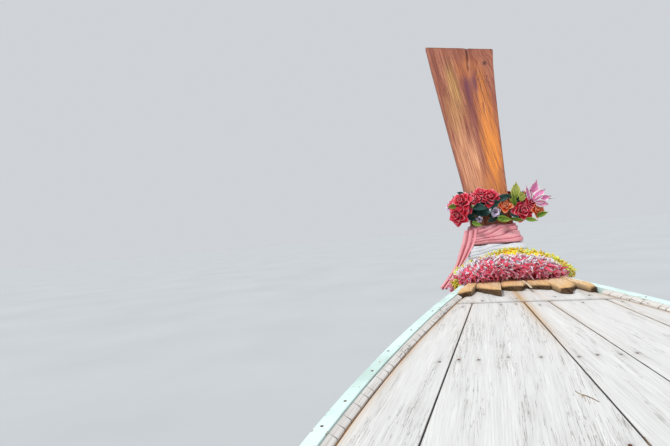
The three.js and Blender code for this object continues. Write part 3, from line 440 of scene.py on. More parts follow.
# Petals and leaves: the "tone" attribute picks the colour of each petal, fine specks of noise break it up
def softPetal(name, soft, tones):
    material, add = newMaterial(name)
    tone = add("Attribute", {}, "Fac", attribute_name="tone")
    speck = add("TexNoise", {"Vector": add("TexCoord", {}, "Object"), "Scale": 1 / .005, "Detail": 4, "Roughness": .6})
    mixed = add("Math", {0: speck, 1: .35, 2: tone}, operation="MULTIPLY_ADD")
    moved = add("Math", {0: mixed, 1: .175}, operation="SUBTRACT", use_clamp=True)
    base = add("ValToRGB", {0: moved}, stops=[(k / (len(tones) - 1), colour) for k, colour in enumerate(tones)])
    bump = add("Bump", {"Strength": .3, "Distance": .0006, "Height": speck})
    surface = add("BsdfPrincipled", {"IOR": 1.4, "Specular IOR Level": .3, "Roughness": .5, "Sheen Weight": .2,
                                     "Subsurface Weight": soft, "Subsurface Scale": .004, "Base Color": base,
                                     "Normal": bump})
    add("OutputMaterial", {"Surface": surface})
    return material


# Woods: tones light, middle, dark, figure and crack; fibre length and width; crack length, spacing, width as a share
# of the noise, and the level that cracks start from; marks are attributes and the tone that each one soaks in
woods = {
    "all": {"coords": "UV", "turn": 0, "slot": "aged_wood", "figure": .6, "wander": .25, "crackDark": .8, "marks": {},
            "markGap": .45, "bump": .5, "relief": .0006, "shine": .35},
    # Teak boards bare in the sun for years: silver-white, matt, with fine long grey checks
    "Bleached teak deck": {
        "tones": ("#EAEAEA", "#DCDCDB", "#CBCAC8", "#E0E0E0", "#6C655C"), "slot": "bleached_wood", "figure": .5,
        "fibre": (.11, .003), "crack": (.24, .009, .014, .46), "crackDark": .6, "wander": .06,
        "marks": {"rust": "#716B65", "stain": "#BE9250", "soot": "#4A443D"}, "rough": (.72, .9), "bump": .4},
    # Hardwood frames, never painted: dull grey-brown, darker along the checks
    "Weathered frame timber": {
        "tones": ("#B9A48C", "#99836B", "#6C5844", "#C9BBA8", "#3B2E22"), "coords": "Object", "fibre": (.12, .005),
        "crack": (.2, .02, .02, .5), "rough": (.7, .9)},
    # The same with its grain across the boat
    "Weathered cross timber": {
        "tones": ("#B9A48C", "#99836B", "#6C5844", "#C9BBA8", "#3B2E22"), "coords": "Object", "turn": 90,
        "fibre": (.12, .005), "crack": (.2, .02, .02, .5), "rough": (.7, .9)},
    # The stem's log, washed by spray: darker and browner, with deep long checks
    "Weathered stem timber": {
        "tones": ("#A88A6C", "#856850", "#5C4534", "#C9BBA8", "#33261B"), "fibre": (.14, .005),
        "crack": (.25, .016, .02, .46), "rough": (.65, .88)},
    # Benches rubbed with oil and by passengers: warm honey brown with a low gloss
    "Oiled bench plank": {
        "tones": ("#C49A63", "#A87B48", "#7A5430", "#CDB594", "#3F2A18"), "fibre": (.14, .004),
        "crack": (.25, .02, .012, .58), "rough": (.4, .62), "relief": .0004, "marks": {"rust": "#4F3320"}},
    # Floor boards scuffed by sandy feet: matt mid brown
    "Scuffed floor board": {
        "tones": ("#A99478", "#8B765B", "#5F4D3A", "#BBA98F", "#352A1E"), "fibre": (.15, .005),
        "crack": (.3, .02, .018, .5), "rough": (.68, .88), "marks": {"rust": "#4A3626"}},
    # Short boards split to length: bright straw tops with dark fibrous ends; the dark end tone, also on the undersides,
    # is deepened as painted shade
    "Split cap board": {
        "tones": ("#F4E8D2", "#E4CDA8", "#B08D60", "#E0C6A4", "#5A3A1C"), "slot": "cut_wood", "fibre": (.06, .0025),
        "crack": (.09, .012, .022, .46), "rough": (.6, .82), "relief": .0008, "markGap": .75,
        "marks": {"warm": "#DDAE70", "sawn": "#3C2310"}},
    # A newly torn sliver: pale and silky
    "Fresh split of a board": {
        "tones": ("#F2EBDD", "#E2D6C2", "#B8A78D", "#E6DCCB", "#7A6446"), "slot": "cut_wood", "fibre": (.04, .0015),
        "crack": (.05, .006, .02, .5), "rough": (.65, .85), "relief": .0004},
    # The strip that carries the deck's edge: chalky grey, darker in its saw cuts
    "Bare bearing strip": {
        "tones": ("#F1F1F0", "#E2DFDC", "#BDB6AE", "#D0C7BA", "#594A3C"), "fibre": (.1, .003),
        "crack": (.15, .01, .02, .5), "rough": (.72, .9), "marks": {"kerf": "#5E5044", "rust": "#7A5238"}},
    # The prow's plank, oiled each season: red-brown with golden, plum and orange patches and a soft gloss; its
    # near-black soot tone darkens the cracks and the starboard edge as painted shade, and marks a dark knot
    "Oiled prow timber": {
        "tones": ("#E09C78", "#B26C52", "#6C362E", "#B08078", "#5A241C"), "slot": "prow_wood", "figure": .8,
        "fibre": (.24, .0042), "crack": (.24, .012, .016, .42), "rough": (.42, .62), "relief": .0005, "shine": .4,
        "markGap": .12, "marks": {"golden": "#D9B062", "plum": "#6A3048", "orange": "#F5963A", "peach": "#F2B084",
                                  "soot": "#2A1512"}},
    # Its sawn head: end grain, dark and rough
    "Sawn prow head": {
        "tones": ("#8C5A44", "#6E4232", "#452620", "#A98A7C", "#20110D"), "coords": "Object", "slot": "prow_wood",
        "fibre": (.012, .006), "crack": (.06, .02, .03, .45), "rough": (.7, .88), "relief": .0008},
}
(bleachedWood, agedWood, athwartWood, stemWood, benchWood, soleWood, cutWood, paleSplit, ledgeWood, prowWood,
 endGrainWood) = (sawnWood(name, look) for name, look in woods.items() if name != "all")

# Paints: tones of the coat, faded, soiled, and what is under it, light and dark; stroke length and width; size of the
# faded patches; size of a chip and the level that chips start from
paints = {
    "all": {"coords": "UV", "edgeWear": .2, "marks": {}},
    # Oil paint on the gunwale: pale mint, chalky, worn to the wood along its edges
    "Pale mint deck paint": {
        "tones": ("#D8F0EC", "#E6F7F4", "#BCD3CC", "#CBB79C", "#6F5A45"), "slot": "mint_paint", "stroke": (.1, .003),
        "fade": .25, "chip": (.02, .72), "edgeWear": .1, "rough": (.45, .68), "relief": .0004,
        "marks": {"rust": "#8A5D3C"}},
    # Pitch payed into the seams: near black and dull, and also painted shade in the gaps
    "Old pitch in seams": {
        "tones": ("#241C16", "#3A2E24", "#15100C", "#4A3A2B", "#2E241B"), "slot": "aged_wood", "stroke": (.03, .004),
        "fade": .05, "chip": (.006, .7), "rough": (.55, .8), "relief": .0005},
    # Putty gone brown: ochre and umber, and also painted shade in the cross seam and deck-edge gaps
    "Brown weathered putty": {
        "tones": ("#7A5228", "#9A6C38", "#3E2A18", "#5A4028", "#2E241B"), "slot": "aged_wood", "stroke": (.05, .004),
        "fade": .08, "chip": (.006, .7), "rough": (.6, .85), "relief": .0005},
    # Enamel on the topsides: warm white with a dim gloss, greener towards the water
    "White hull gloss": {
        "tones": ("#E6E8E2", "#F2F3EE", "#C9C8BA", "#A98F70", "#6B5440"), "slot": "white_paint", "stroke": (.25, .008),
        "fade": .5, "chip": (.05, .71), "edgeWear": .1, "rough": (.32, .55), "relief": .0004,
        "marks": {"seam": "#5E564A", "weed": "#6D7350"}},
    # Primer below the waterline: matt brick red
    "Red lead bottom paint": {
        "tones": ("#7F3B31", "#9A5346", "#5A2F28", "#8C7A5F", "#4C4030"), "slot": "bottom_paint", "stroke": (.2, .01),
        "fade": .3, "chip": (.04, .7), "rough": (.7, .9), "relief": .0006,
        "marks": {"seam": "#33201C", "weed": "#4F5638"}},
    # Marine engine enamel: slate blue-grey, half gloss, soiled in patches
    "Engine enamel": {
        "tones": ("#5C6F79", "#7B8C94", "#37424A", "#7A4A30", "#3C2A22"), "slot": "engine_paint", "coords": "Object",
        "stroke": (.02, .02), "fade": .12, "chip": (.02, .68), "rough": (.35, .6), "relief": .0003},
}
paints["Red lead keel paint"] = {**paints["Red lead bottom paint"], "coords": "Object", "marks": {}}
mintPaint, pitchAndGapShade, puttyAndGapShade, whitePaint, bottomPaint, enginePaint, keelPaint = (
    brushedPaint(name, look) for name, look in paints.items() if name != "all")

# Metals: tones dark, light and of the rust; sizes of the tone's patches, the cells and the rust; how much the cells
# show; the level that rust starts from
metals = {
    # Brackets under old black paint: charcoal with rust at the edges
    "Painted mild steel": {
        "tones": ("#2E3133", "#54585B", "#7B4426"), "sizes": (.05, .01, .06), "cellShare": .1, "rustFrom": .57,
        "metallic": .7, "slot": "dark_steel", "rough": (.45, .62), "relief": .0006},
    # Hot-dipped tube: pale grey spangle, half bright
    "Galvanised steel tube": {
        "tones": ("#8E9499", "#B6BCC0", "#8A5A38"), "sizes": (.08, .009, .09), "cellShare": .4, "rustFrom": .64,
        "metallic": .9, "slot": "galvanised", "rough": (.32, .5), "relief": .0003},
    # Sand-cast iron near the heat: sooty brown and coarse
    "Sooty cast iron": {
        "tones": ("#3A3530", "#6A5D52", "#68402C"), "sizes": (.03, .008, .05), "cellShare": .15, "rustFrom": .5,
        "metallic": .6, "slot": "dark_steel", "rough": (.6, .8), "relief": .0008},
    # Propeller bronze, polished by the water: brown gold with green in the hollows
    "Cast bronze": {
        "tones": ("#7C6038", "#AE8A54", "#4F6B52"), "sizes": (.05, .01, .05), "cellShare": .1, "rustFrom": .6,
        "metallic": 1, "slot": "bronze", "rough": (.25, .42), "relief": .0003},
    # Moulded rubber: matt black with grey dust
    "Sooted black rubber": {
        "tones": ("#17181A", "#2C2D2F", "#5C564E"), "sizes": (.02, .004, .05), "cellShare": .1, "rustFrom": .66,
        "metallic": 0, "slot": "dark_steel", "rough": (.55, .75), "relief": .0003},
    # Sprayed enamel on the filters: black with a soft gloss
    "Black filter enamel": {
        "tones": ("#202326", "#33373A", "#6B4630"), "sizes": (.04, .006, .04), "cellShare": .1, "rustFrom": .62,
        "metallic": 0, "slot": "dark_steel", "rough": (.3, .5), "relief": .0002},
    # Steel that has glowed: brown scale with rust breaking through
    "Heat-scaled exhaust steel": {
        "tones": ("#55483F", "#8E8478", "#6A4230"), "sizes": (.06, .01, .045), "cellShare": .15, "rustFrom": .53,
        "metallic": .7, "slot": "galvanised", "rough": (.45, .65), "relief": .0005},
    # Iron nails in salt air: dark rust all over
    "Rusty nail heads": {
        "tones": ("#2C2119", "#5A4230", "#6E4024"), "sizes": (.01, .004, .01), "cellShare": .3, "rustFrom": .4,
        "metallic": .5, "slot": "dark_steel", "rough": (.6, .8), "relief": .0004},
}
darkSteel, galvanised, castIron, bronze, hoseRubber, blackEnamel, scaledSteel, nailIron = (
    bareMetal(name, look) for name, look in metals.items())

# Cloths: tones dark, light and in the folds, the last painted shade in the folds and, on the canopy, the tone of its
# seams. Threads are drawn three to four times as coarse as they are, to show
cloths = {
    # Awning canvas: flat mid blue, faded in broad patches
    "Blue canvas": {"tones": ("#34608B", "#5585B3", "#274A6D"), "slot": "canvas", "thread": .0035, "fade": .35,
                    "rough": .88, "sheen": .15, "relief": .0004},
    # Thin cotton bands: soft rose and white, with a bloom of light at their edges
    "Dusty rose cotton": {"tones": ("#F498A4", "#FFBEC6", "#AE4258"), "slot": "pink_cloth", "thread": .0012,
                          "fade": .06, "rough": .85, "sheen": .35, "relief": .0003},
    "White cotton": {"tones": ("#D5DAE4", "#F0F2F6", "#8592AC"), "slot": "white_cloth", "thread": .0012, "fade": .06,
                     "rough": .85, "sheen": .3, "relief": .0003},
}
canvasCloth, pinkCloth, whiteCloth = (wovenCloth(name, look) for name, look in cloths.items())

# Petals and leaves of dyed crepe and of waxed cloth: colours from the deep base tone to the pale rim, the deepest
# partly painted shade among the petals and the palest partly painted highlight; light goes far into the thin crepe, and
# glances off the rest
petals = {
    "Yellow crepe petals": ["yellow_petals", .6, "#FAC424", "#FFDE36", "#FFEC58", "#FFF8C0"],
    "Pink crepe petals": ["pink_petals", .6, "#F42C58", "#FF6E8C", "#FFB2C6", "#FFDCE5", "#FFF6F9"],
    "Crimson rose petals": ["flowers", .12, "#5A020E", "#B0061E", "#DC1638", "#F0607A", "#FFE2E6"],
    "Orange rose petals": ["flowers", .12, "#B4180A", "#E83818", "#F76A3C", "#FBA878", "#FEE4BC"],
    "Lily petals": ["flowers", .12, "#C53A8C", "#E470B2", "#F4AED4", "#FDEAF5", "#FFFFFF"],
    "Lilac petals": ["flowers", .12, "#8D74A8", "#C9B4DA", "#E6DAEE", "#FBF7FC"],
    "Green buds": ["flowers", .12, "#5F7A1C", "#9DB23A", "#CFD878", "#F6F0C4"],
    # The near-black leaves are partly leaves and partly painted shade in the gaps between the blooms
    "Dark garland leaves": ["flowers", .12, "#050D0E", "#0E2A29", "#1F4C47", "#5A8C82"],
    "Light garland leaves": ["flowers", .12, "#1E3612", "#446A1E", "#7E9A36", "#C6D27C"],
}
yellowPetal, pinkPetal, rosePetal, orangePetal, lilyPetal, lilacPetal, budPetal, darkLeafAndShade, leafGreen = (
    softPetal(name, soft, tones) for name, (slot, soft, *tones) in petals.items())
print("finishes made:", len(bpy.data.materials))

# Hull lines: x, half breadth at the sheer, height where the planks meet the keel, share of straight vee
hull = {
    "rows": [[-4.45, .77, -.17, .16], [-2.7, .93, -.275, .14], [-1.2, .965, -.295, .14], [.15, .925, -.295, .17],
             [1.25, .839, -.293, .24], [2.05, .732, -.285, .34], [2.6, .616, -.268, .45], [3.02, .488, -.225, .58],
             [3.45, .321, -.08, .72], [3.65, .228, .09, .78], [3.8, .172, .275, .83], [3.96, .125, .525, .88],
             [4.06, .084, .69, .9], [4.16, .045, .837, .9]],
    "seamX": 3.45, "seamZ": .92, "seamSkew": .085, "deckSlope": np.tan(np.radians(7)), "deckAftX": 1.75,
    "sheerLowX": -1.4, "deckStep": .013, "transomX": -4.45, "forwardX": 4.16, "rake": .14,
    "plank": .026, "sheerEdge": .033, "groove": .006, "ledge": .015, "deckGap": .004,
}
transomX, seamX = hull["transomX"], hull["seamX"]


# Cubic through the rows of a table with the slopes of each row's neighbours
def alongRows(rows, column, x):
    rows = np.asarray(rows, float)
    x = np.asarray(x, float)
    places, heights = rows[:, 0], rows[:, column]
    last = len(rows) - 1
    before, after = np.maximum(np.arange(last + 1) - 1, 0), np.minimum(np.arange(last + 1) + 1, last)
    slope = (heights[after] - heights[before]) / (places[after] - places[before])
    i = np.clip(np.searchsorted(places, x, side="right") - 1, 0, last - 1)
    span = places[i + 1] - places[i]
    u = (x - places[i]) / span
    return ((2 * u**3 - 3 * u**2 + 1) * heights[i] + (u**3 - 2 * u**2 + u) * slope[i] * span
            + (3 * u**2 - 2 * u**3) * heights[i + 1] + (u**3 - u**2) * slope[i + 1] * span)


def softStep(x, low, high):
    share = np.clip((np.asarray(x, float) - low) / (high - low), 0, 1)
    return share * share * (3 - 2 * share)


def halfBreadth(x):
    return alongRows(hull["rows"], 1, x)


def rabbetHeight(x):
    return alongRows(hull["rows"], 2, x)


def deckTop(x):
    return hull["seamZ"] + hull["deckSlope"] * (np.asarray(x, float) - seamX)


# The sheer: the deck's straight line forward, and a parabola that is level at its lowest point aft of the deck
def sheerTop(x):
    x = np.asarray(x, float)
    back = np.minimum(x - hull["deckAftX"], 0)
    bend = hull["deckSlope"] / (2 * (hull["sheerLowX"] - hull["deckAftX"]))
    curved = deckTop(hull["deckAftX"]) + hull["deckSlope"] * back - bend * back * back
    return np.where(x >= hull["deckAftX"], deckTop(x), curved) + hull["deckStep"]


# Outer skin to port: across is the sine and up the cosine of t * 75 degrees, blended with a straight vee
def skinPoint(x, t):
    swing = np.radians(75)
    vee = alongRows(hull["rows"], 3, x)
    out = np.sin(t * swing) / np.sin(swing)
    rise = (1 - np.cos(t * swing)) / (1 - np.cos(swing))
    low = rabbetHeight(x)
    return .03 + (halfBreadth(x) - .03) * out, low + (sheerTop(x) - low) * (vee * out + (1 - vee) * rise)


# The same point moved inwards, square to the skin, and level at the sheer
def insetPoint(x, t, inset):
    y, z = skinPoint(x, t)
    ya, za = skinPoint(x, np.maximum(t - .01, 0))
    yb, zb = skinPoint(x, np.minimum(t + .01, 1))
    level = softStep(t, .9, 1)
    length = np.hypot(zb - za, yb - ya)
    ny = -(zb - za) / length * (1 - level) - level
    nz = (yb - ya) / length * (1 - level)
    size = np.hypot(ny, nz)
    return y + inset * ny / size, z + inset * nz / size


# Half breadth at a height, inside the skin by inset, read from the skin's own points
def breadthAt(x, z, inset=0.0):
    t = np.linspace(0, 1, 200)
    ys, zs = insetPoint(x, t, inset)
    return float(np.interp(z, zs, ys))


# The stern leans aft: points near it move back with their height
def raked(points):
    points = np.array(points, float)
    points[..., 0] -= hull["rake"] * points[..., 2] * softStep(-points[..., 0], 3.55, 4.45)
    return points


def plankEdge(t):
    return hull["plank"] + (hull["sheerEdge"] - hull["plank"]) * softStep(t, .8, 1)


def insideLedge(x):
    return halfBreadth(x) - hull["sheerEdge"] - hull["groove"] - hull["ledge"]


def deckEdge(x):
    return insideLedge(x) - hull["deckGap"]


# A slab between two grids of points, top and bottom; u and v are given for the top
def slabShell(top, bottom, u, v):
    n, k = top.shape[:2]
    index = np.arange(n * k).reshape(n, k)
    under = index + n * k
    quadTop, quadUnder = gridQuads(index), gridQuads(under)[:, [0, 3, 2, 1]]
    rim = np.concatenate([index[0, :-1], index[:-1, -1], index[-1, :0:-1], index[:0:-1, 0]])
    ahead = np.roll(rim, -1)
    quadRim = np.stack([rim, rim + n * k, ahead + n * k, ahead], -1)
    pairs = np.stack([u, v], -1).reshape(-1, 2)
    pairs = np.concatenate([pairs, pairs])
    deep = np.abs(top - bottom)[..., 2].mean()
    uv = pairs[np.concatenate([quadTop, quadUnder, quadRim]).reshape(-1)]
    uv[-4 * len(quadRim):].reshape(-1, 4, 2)[:, 1:3] += [deep * .3, deep]
    return {"points": np.concatenate([top.reshape(-1, 3), bottom.reshape(-1, 3)]),
            "quads": np.concatenate([quadTop, quadUnder, quadRim]), "caps": [], "uv": uv}


# Hull planking: a closed strip between two lines of the skin, with a narrow groove at each plank seam
planking = {"grooveDepth": .0028, "grooveWidth": .0035, "lengthSteps": 96,
            "butt": transomX + 11 * (2.6 - transomX) / 16,
            "bands": [["bottom_planks", 0, .4, [.13, .265]], ["side_planks", .4, .8, [.6]], ["sheer_plank", .8, 1, []]]}


def strakeShell(side, low, high, seams, start, end):
    steps = int(planking["lengthSteps"] * (end - start) / 8.6)
    x = np.linspace(start, end, steps)[:, None]
    near = [s + d for s in seams for d in (-.006, -.003, 0, .003, .006)]
    t = np.unique(np.concatenate([np.linspace(low, high, 15), near]))[None, :]
    depth = sum(np.exp(-((t - s) / planking["grooveWidth"])**2) for s in seams) * planking["grooveDepth"] if seams else 0 * t
    lip = .0012 * (np.exp(-((t - low) / .004)**2) + np.exp(-((t - high) / .004)**2) * (high < 1))
    outerY, outerZ = insetPoint(x, t, depth + lip)
    tIn = np.linspace(high, low, 5)[None, :]
    innerY, innerZ = insetPoint(x, tIn, plankEdge(tIn))
    y, z = np.concatenate([outerY, innerY], 1), np.concatenate([outerZ, innerZ], 1)
    rings = raked(np.stack([x + 0 * y, side * y, z], -1))
    shell = sweep(rings, lengthwise=x[:, 0])
    allT = np.broadcast_to(np.concatenate([t, tIn], 1), y.shape)
    outside = np.broadcast_to(np.concatenate([t * 0 + 1, tIn * 0], 1), y.shape)
    gaps = sum(np.exp(-((allT - s) / .004)**2) for s in seams) if seams else allT * 0
    ends = np.exp(-((allT - low) / .005)**2) * (low > 0)
    weed = np.clip(1 - np.abs(z - .02) / .09, 0, 1) * outside
    edge = np.exp(-((1 - allT) / .03)**2) if high == 1 else allT * 0
    return shell, {"seam": np.clip(gaps + ends, 0, 1) * outside, "weed": weed, "edge": edge}


for side, label in ((1, "port"), (-1, "starboard")):
    for kind, low, high, seams in planking["bands"]:
        paint = {"bottom_planks": bottomPaint, "side_planks": whitePaint, "sheer_plank": mintPaint}[kind]
        spans = [("", transomX, hull["forwardX"])]
        if high < 1:
            spans = [("_aft", transomX, planking["butt"] - .0002),
                     ("_fore", planking["butt"] + .0002, hull["forwardX"])]
        for ending, start, end in spans:
            shell, marks = strakeShell(side, low, high, seams, start, end)
            node = f"{kind}_{label}{ending}"
            makePiece(titled(node), shell, paint, [node], marks, sharp=50, bevel=.0025 if high == 1 else 0)
print("planking made")

# The bare strip inside each sheer plank, with saw cuts across its top
ledge = {"slope": .0105, "cutSpacing": .041, "cutDepth": .0035, "cutWidth": .0016, "lip": .018, "depth": .045,
         "forwardX": 3.52, "capAftHalf": .243}


def ledgeShell(side):
    endX = ledge["forwardX"] + side * hull["seamSkew"] * ledge["capAftHalf"]
    startX = transomX + .045
    cuts = np.arange(startX + .05, endX - .02, ledge["cutSpacing"])
    cuts = cuts + .011 * ripple(cuts * 40, seed=side)
    half = ledge["cutWidth"] / 2
    x = np.concatenate([[startX],
                        np.sort(np.concatenate([cuts - half - .0006, cuts - half, cuts + half, cuts + half + .0006])),
                        np.linspace(cuts[-1] + .01, endX, 3)])
    cutting = np.zeros(len(x))
    cutting[2:-4:4] = 1
    cutting[3:-3:4] = 1
    strength = .55 + .45 * ripple(x * 23, seed=2)
    share = np.linspace(0, 1, 7)[None, :]
    top = sheerTop(x)
    outer = halfBreadth(x) - hull["sheerEdge"] - hull["groove"]
    yTop = outer[:, None] - hull["ledge"] * share
    slant = .004 * (share - .5) * cutting[:, None]
    cutDown = (ledge["cutDepth"] * cutting * strength)[:, None]
    zTop = top[:, None] - ledge["slope"] * share - cutDown - .0006 * (2 * share - 1)**4
    inner = outer - hull["ledge"]
    rest = [[inner, top - ledge["depth"]], [outer + .03, top - ledge["depth"]], [outer + .03, top - ledge["lip"]],
            [outer, top - ledge["lip"]]]
    y = np.concatenate([yTop, np.stack([r[0] for r in rest], 1)], 1)
    z = np.concatenate([zTop, np.stack([r[1] for r in rest], 1)], 1)
    xs = np.concatenate([x[:, None] + slant, np.repeat(x[:, None], 4, 1)], 1)
    shell = sweep(raked(np.stack([xs, side * y, z], -1)), lengthwise=x)
    kerf = np.concatenate([np.repeat(cutting[:, None], 7, 1), np.zeros((len(x), 4))], 1)
    return shell, {"kerf": kerf}


for side, label in ((1, "port"), (-1, "starboard")):
    shell, marks = ledgeShell(side)
    makePiece(f"BearingStrip{label.title()}", shell, ledgeWood, [f"ledge_{label}"], marks, sharp=40)

# Foredeck boards. Seams: half breadth at the cross seam, spread for each metre aft. Grain: the same spread, for each
# board's own fibres. Nails: x, and y to port
deck = {"seams": [[.202, .241], [.026, .003], [-.053, -.102], [-.228, -.178]], "gap": .004, "thickness": .022,
        "crossForwardX": 3.9, "grid": .0104, "scratches": [[[2.796, .081], [2.773, .073], [2.754, .075]],
                                                           [[2.779, .072], [2.766, .061], [2.75, .052]],
                                                           [[2.63, .028], [2.604, .031]]],
        "nails": [[2.965, .345], [2.975, .297], [2.97, .249], [2.98, .175], [2.972, .099], [2.968, .013],
                  [2.975, -.031], [2.972, -.082], [2.978, -.121], [3.424, .236], [3.424, .107], [3.426, .057],
                  [3.4, -.014], [3.403, -.15], [2.608, .06], [3.39, -.265], [2.96, -.35], [3.49, .16], [3.495, .04],
                  [3.49, -.09], [3.485, -.2]], "beams": [2.53, 2.15, 1.79], "grain": [.241, .17, -.05, -.14, -.178],
        "pitchDepth": .003}


def seamLine(number, x):
    half, spread = deck["seams"][number]
    return half + spread * (seamX - x)


def boardEdges(number):
    last = len(deck["seams"])

    def starboard(x):
        return -deckEdge(x) if number == last else seamLine(number, x) + deck["gap"] / 2

    def port(x):
        seam = deckEdge(x) if number == 0 else seamLine(number - 1, x) - deck["gap"] / 2
        return np.maximum(seam, starboard(x) + .008)
    return port, starboard


allNails = [list(n) for n in deck["nails"]]
for beamX in deck["beams"]:
    for number in range(len(deck["seams"]) + 1):
        port, starboard = boardEdges(number)
        a, b = float(port(beamX)), float(starboard(beamX))
        shares = (.12, .38, .64, .88) if a - b > .25 else (.2, .8)
        allNails += [[beamX + .006 * float(ripple(beamX * 50 + s * 9)), a + (b - a) * s] for s in shares]
nailPlaces = np.array(allNails)


# A board between two side lines; each end runs between its own two x. The top is worn down at its edges and ends, and
# rippled
def boardShell(port, starboard, portX, starboardX, seed, thickness=None, topLine=deckTop, wear=.0014, grain=0.0):
    count = max(int((portX[1] - portX[0]) / deck["grid"]), 8)
    across = max(int(float(port(portX[0]) - starboard(portX[0])) / deck["grid"]), 8)
    i = np.linspace(0, 1, count)[:, None]
    s = np.linspace(0, 1, across)[None, :]
    xa, xb = portX[0] + (portX[1] - portX[0]) * i, starboardX[0] + (starboardX[1] - starboardX[0]) * i
    x = xa + (xb - xa) * s
    y = port(xa) + (starboard(xb) - port(xa)) * s
    uneven = ripple(x * 2.2, y * 30, seed) * .0006 + ripple(x * 9, y * 140, seed + 3) * .00025
    rim = wear * np.abs(2 * s - 1)**10 + wear * .5 * (np.exp(-i / .004) + np.exp(-(1 - i) / .004))
    z = topLine(x) + uneven * (1 - np.abs(2 * s - 1)**10) - rim - .0004
    top = np.stack([x, y, z], -1)
    bottom = np.stack([x, y, topLine(x) - (thickness or deck["thickness"])], -1)
    shell = slabShell(top, bottom, x + seed * 1.13, y + grain * (x - portX[1]) + seed * .71)
    return shell, x, y


# Rust runs along the grain from each nail: a narrow bell across and a longer one lengthwise
def nailRust(x, y):
    total = np.zeros(np.shape(x))
    for nx, ny in nailPlaces:
        run = np.exp(-((x - nx) / .03)**2 - ((y - ny) / .005)**2)
        total += run * .3 + .8 * np.exp(-((x - nx)**2 + (y - ny)**2) / .0055**2)
    return np.clip(total, 0, 1)


def deckMarks(x, y):
    seam = np.zeros(np.shape(x))
    for number, reach in ((0, .25), (1, 1.2), (2, .35), (3, .3)):
        seam = np.maximum(seam, reach * np.exp(-np.abs(y - seamLine(number, x)) / .012) * softStep(x, 2.9, 3.4))
    edge = np.exp(-(deckEdge(x) - np.abs(y)) / .01) * softStep(x, 2.0, 3.1)
    # The knot is dark in the wood itself; the band along the cross seam is painted shade at its gap
    knot = np.exp(-((x - 2.93) / .02)**2 - ((y + .36) / .012)**2)
    knot = knot + .75 * np.exp(-np.abs(x - seamX - hull["seamSkew"] * y) / .006)
    return {"rust": np.concatenate([nailRust(x, y).ravel()] * 2),
            "stain": np.concatenate([np.clip(seam + .7 * edge, 0, 1).ravel()] * 2),
            "soot": np.concatenate([knot.ravel()] * 2)}


for number in range(len(deck["seams"]) + 1):
    port, starboard = boardEdges(number)
    ends = [seamX - .002 + hull["seamSkew"] * float(line(seamX)) for line in (port, starboard)]
    shell, x, y = boardShell(port, starboard, (hull["deckAftX"], ends[0]), (hull["deckAftX"], ends[1]), number,
                             grain=deck["grain"][number])
    makePiece(f"DeckBoard{number + 1}", shell, bleachedWood, [f"deck_board_{number + 1}"],
              deckMarks(x, y), sharp=45, bevel=.0012)


def crossWidth(x):
    return np.minimum(deckEdge(x), halfBreadth(x) - hull["sheerEdge"] - .02)


ends = [seamX + .002 + side * hull["seamSkew"] * float(crossWidth(seamX)) for side in (1, -1)]
shell, x, y = boardShell(crossWidth, lambda x: -crossWidth(x), (ends[0], deck["crossForwardX"]),
                         (ends[1], deck["crossForwardX"]), 7)
makePiece("CrossPiece", shell, bleachedWood, ["cross_piece"], deckMarks(x, y), sharp=45, bevel=.0012)


# Nail heads: low domes, a hair under the surface, joined as one mesh
def nailHeads(places, radius, topLine, seed=1):
    shells = []
    for k, (x, y) in enumerate(places):
        z = float(topLine(np.array(x)))
        r = radius * (.85 + .25 * float(ripple(k * 3.1, seed=seed)))
        shells.append(turned([x, y, z - .004], [x, y, z + .01], [[0, r], [.0036, r], [.0042, r * .8], [.0044, r * .3]],
                             10))
    return shells


makePiece("DeckNails", nailHeads(nailPlaces, .0038, deckTop), nailIron)


# Dark strips in the seams, partly pitch and partly painted shade in the gaps, and dirt in the scratches: a strip along
# each line, just under the deck, as wide as the gap
def pitchStrip(xs, ys, squareX, squareY, half=.0019, depth=deck["pitchDepth"]):
    top = np.stack([xs, ys, deckTop(xs) - depth - .0006 * ripple(xs * 60, ys * 60)], 1)
    side = np.array([squareX, squareY, 0]) * half
    deep = [0, 0, .014]
    return sweep(np.stack([top + side, top - side, top - side - deep, top + side - deep], 1))


strips = []
xs = np.linspace(hull["deckAftX"] + .01, seamX - .02, 60)
for number in range(len(deck["seams"])):
    ahead = xs[seamLine(number, xs) > -deckEdge(xs)]
    strips.append(pitchStrip(ahead, seamLine(number, ahead), 0, 1))
ys = np.linspace(-.999, .999, 30) * float(deckEdge(seamX))
browned = [pitchStrip(seamX + hull["seamSkew"] * ys, ys, 1, 0)]
for side in (1, -1):
    edge = np.linspace(hull["deckAftX"] + .01, 3.49, 60)
    browned.append(pitchStrip(edge, side * (insideLedge(edge) - hull["deckGap"] / 2), 0, 1))
scratches = []
for line in deck["scratches"]:
    line = curveThrough(line, 12)
    scratches.append(pitchStrip(line[:, 0], line[:, 1], 0, 1, .00032, -.0008))
makePiece("SeamPitch", strips, pitchAndGapShade)
makePiece("SeamPutty", browned, puttyAndGapShade)
makePiece("DeckScratches", scratches, agedWood)
edgeX = np.concatenate([[2.649, 2.746, 2.893, 3.015, 3.173, 3.353], np.arange(-4.3, 2.55, .19)])
edgeX = np.concatenate([edgeX, edgeX + .03])
edgeSide = np.concatenate([np.ones(len(edgeX) // 2), -np.ones(len(edgeX) // 2)])
edgeY = edgeSide * (halfBreadth(edgeX) - .016 + .005 * ripple(edgeX * 9))
placesAt = raked(np.stack([edgeX, edgeY, sheerTop(edgeX)], -1))
headRows = [[0, .004], [.0038, .004], [.0045, .0028], [.0046, .001]]
makePiece("SheerNails", bored(placesAt - [0, 0, .004], [0, 0, .014], headRows, 10), nailIron)
print("foredeck made")

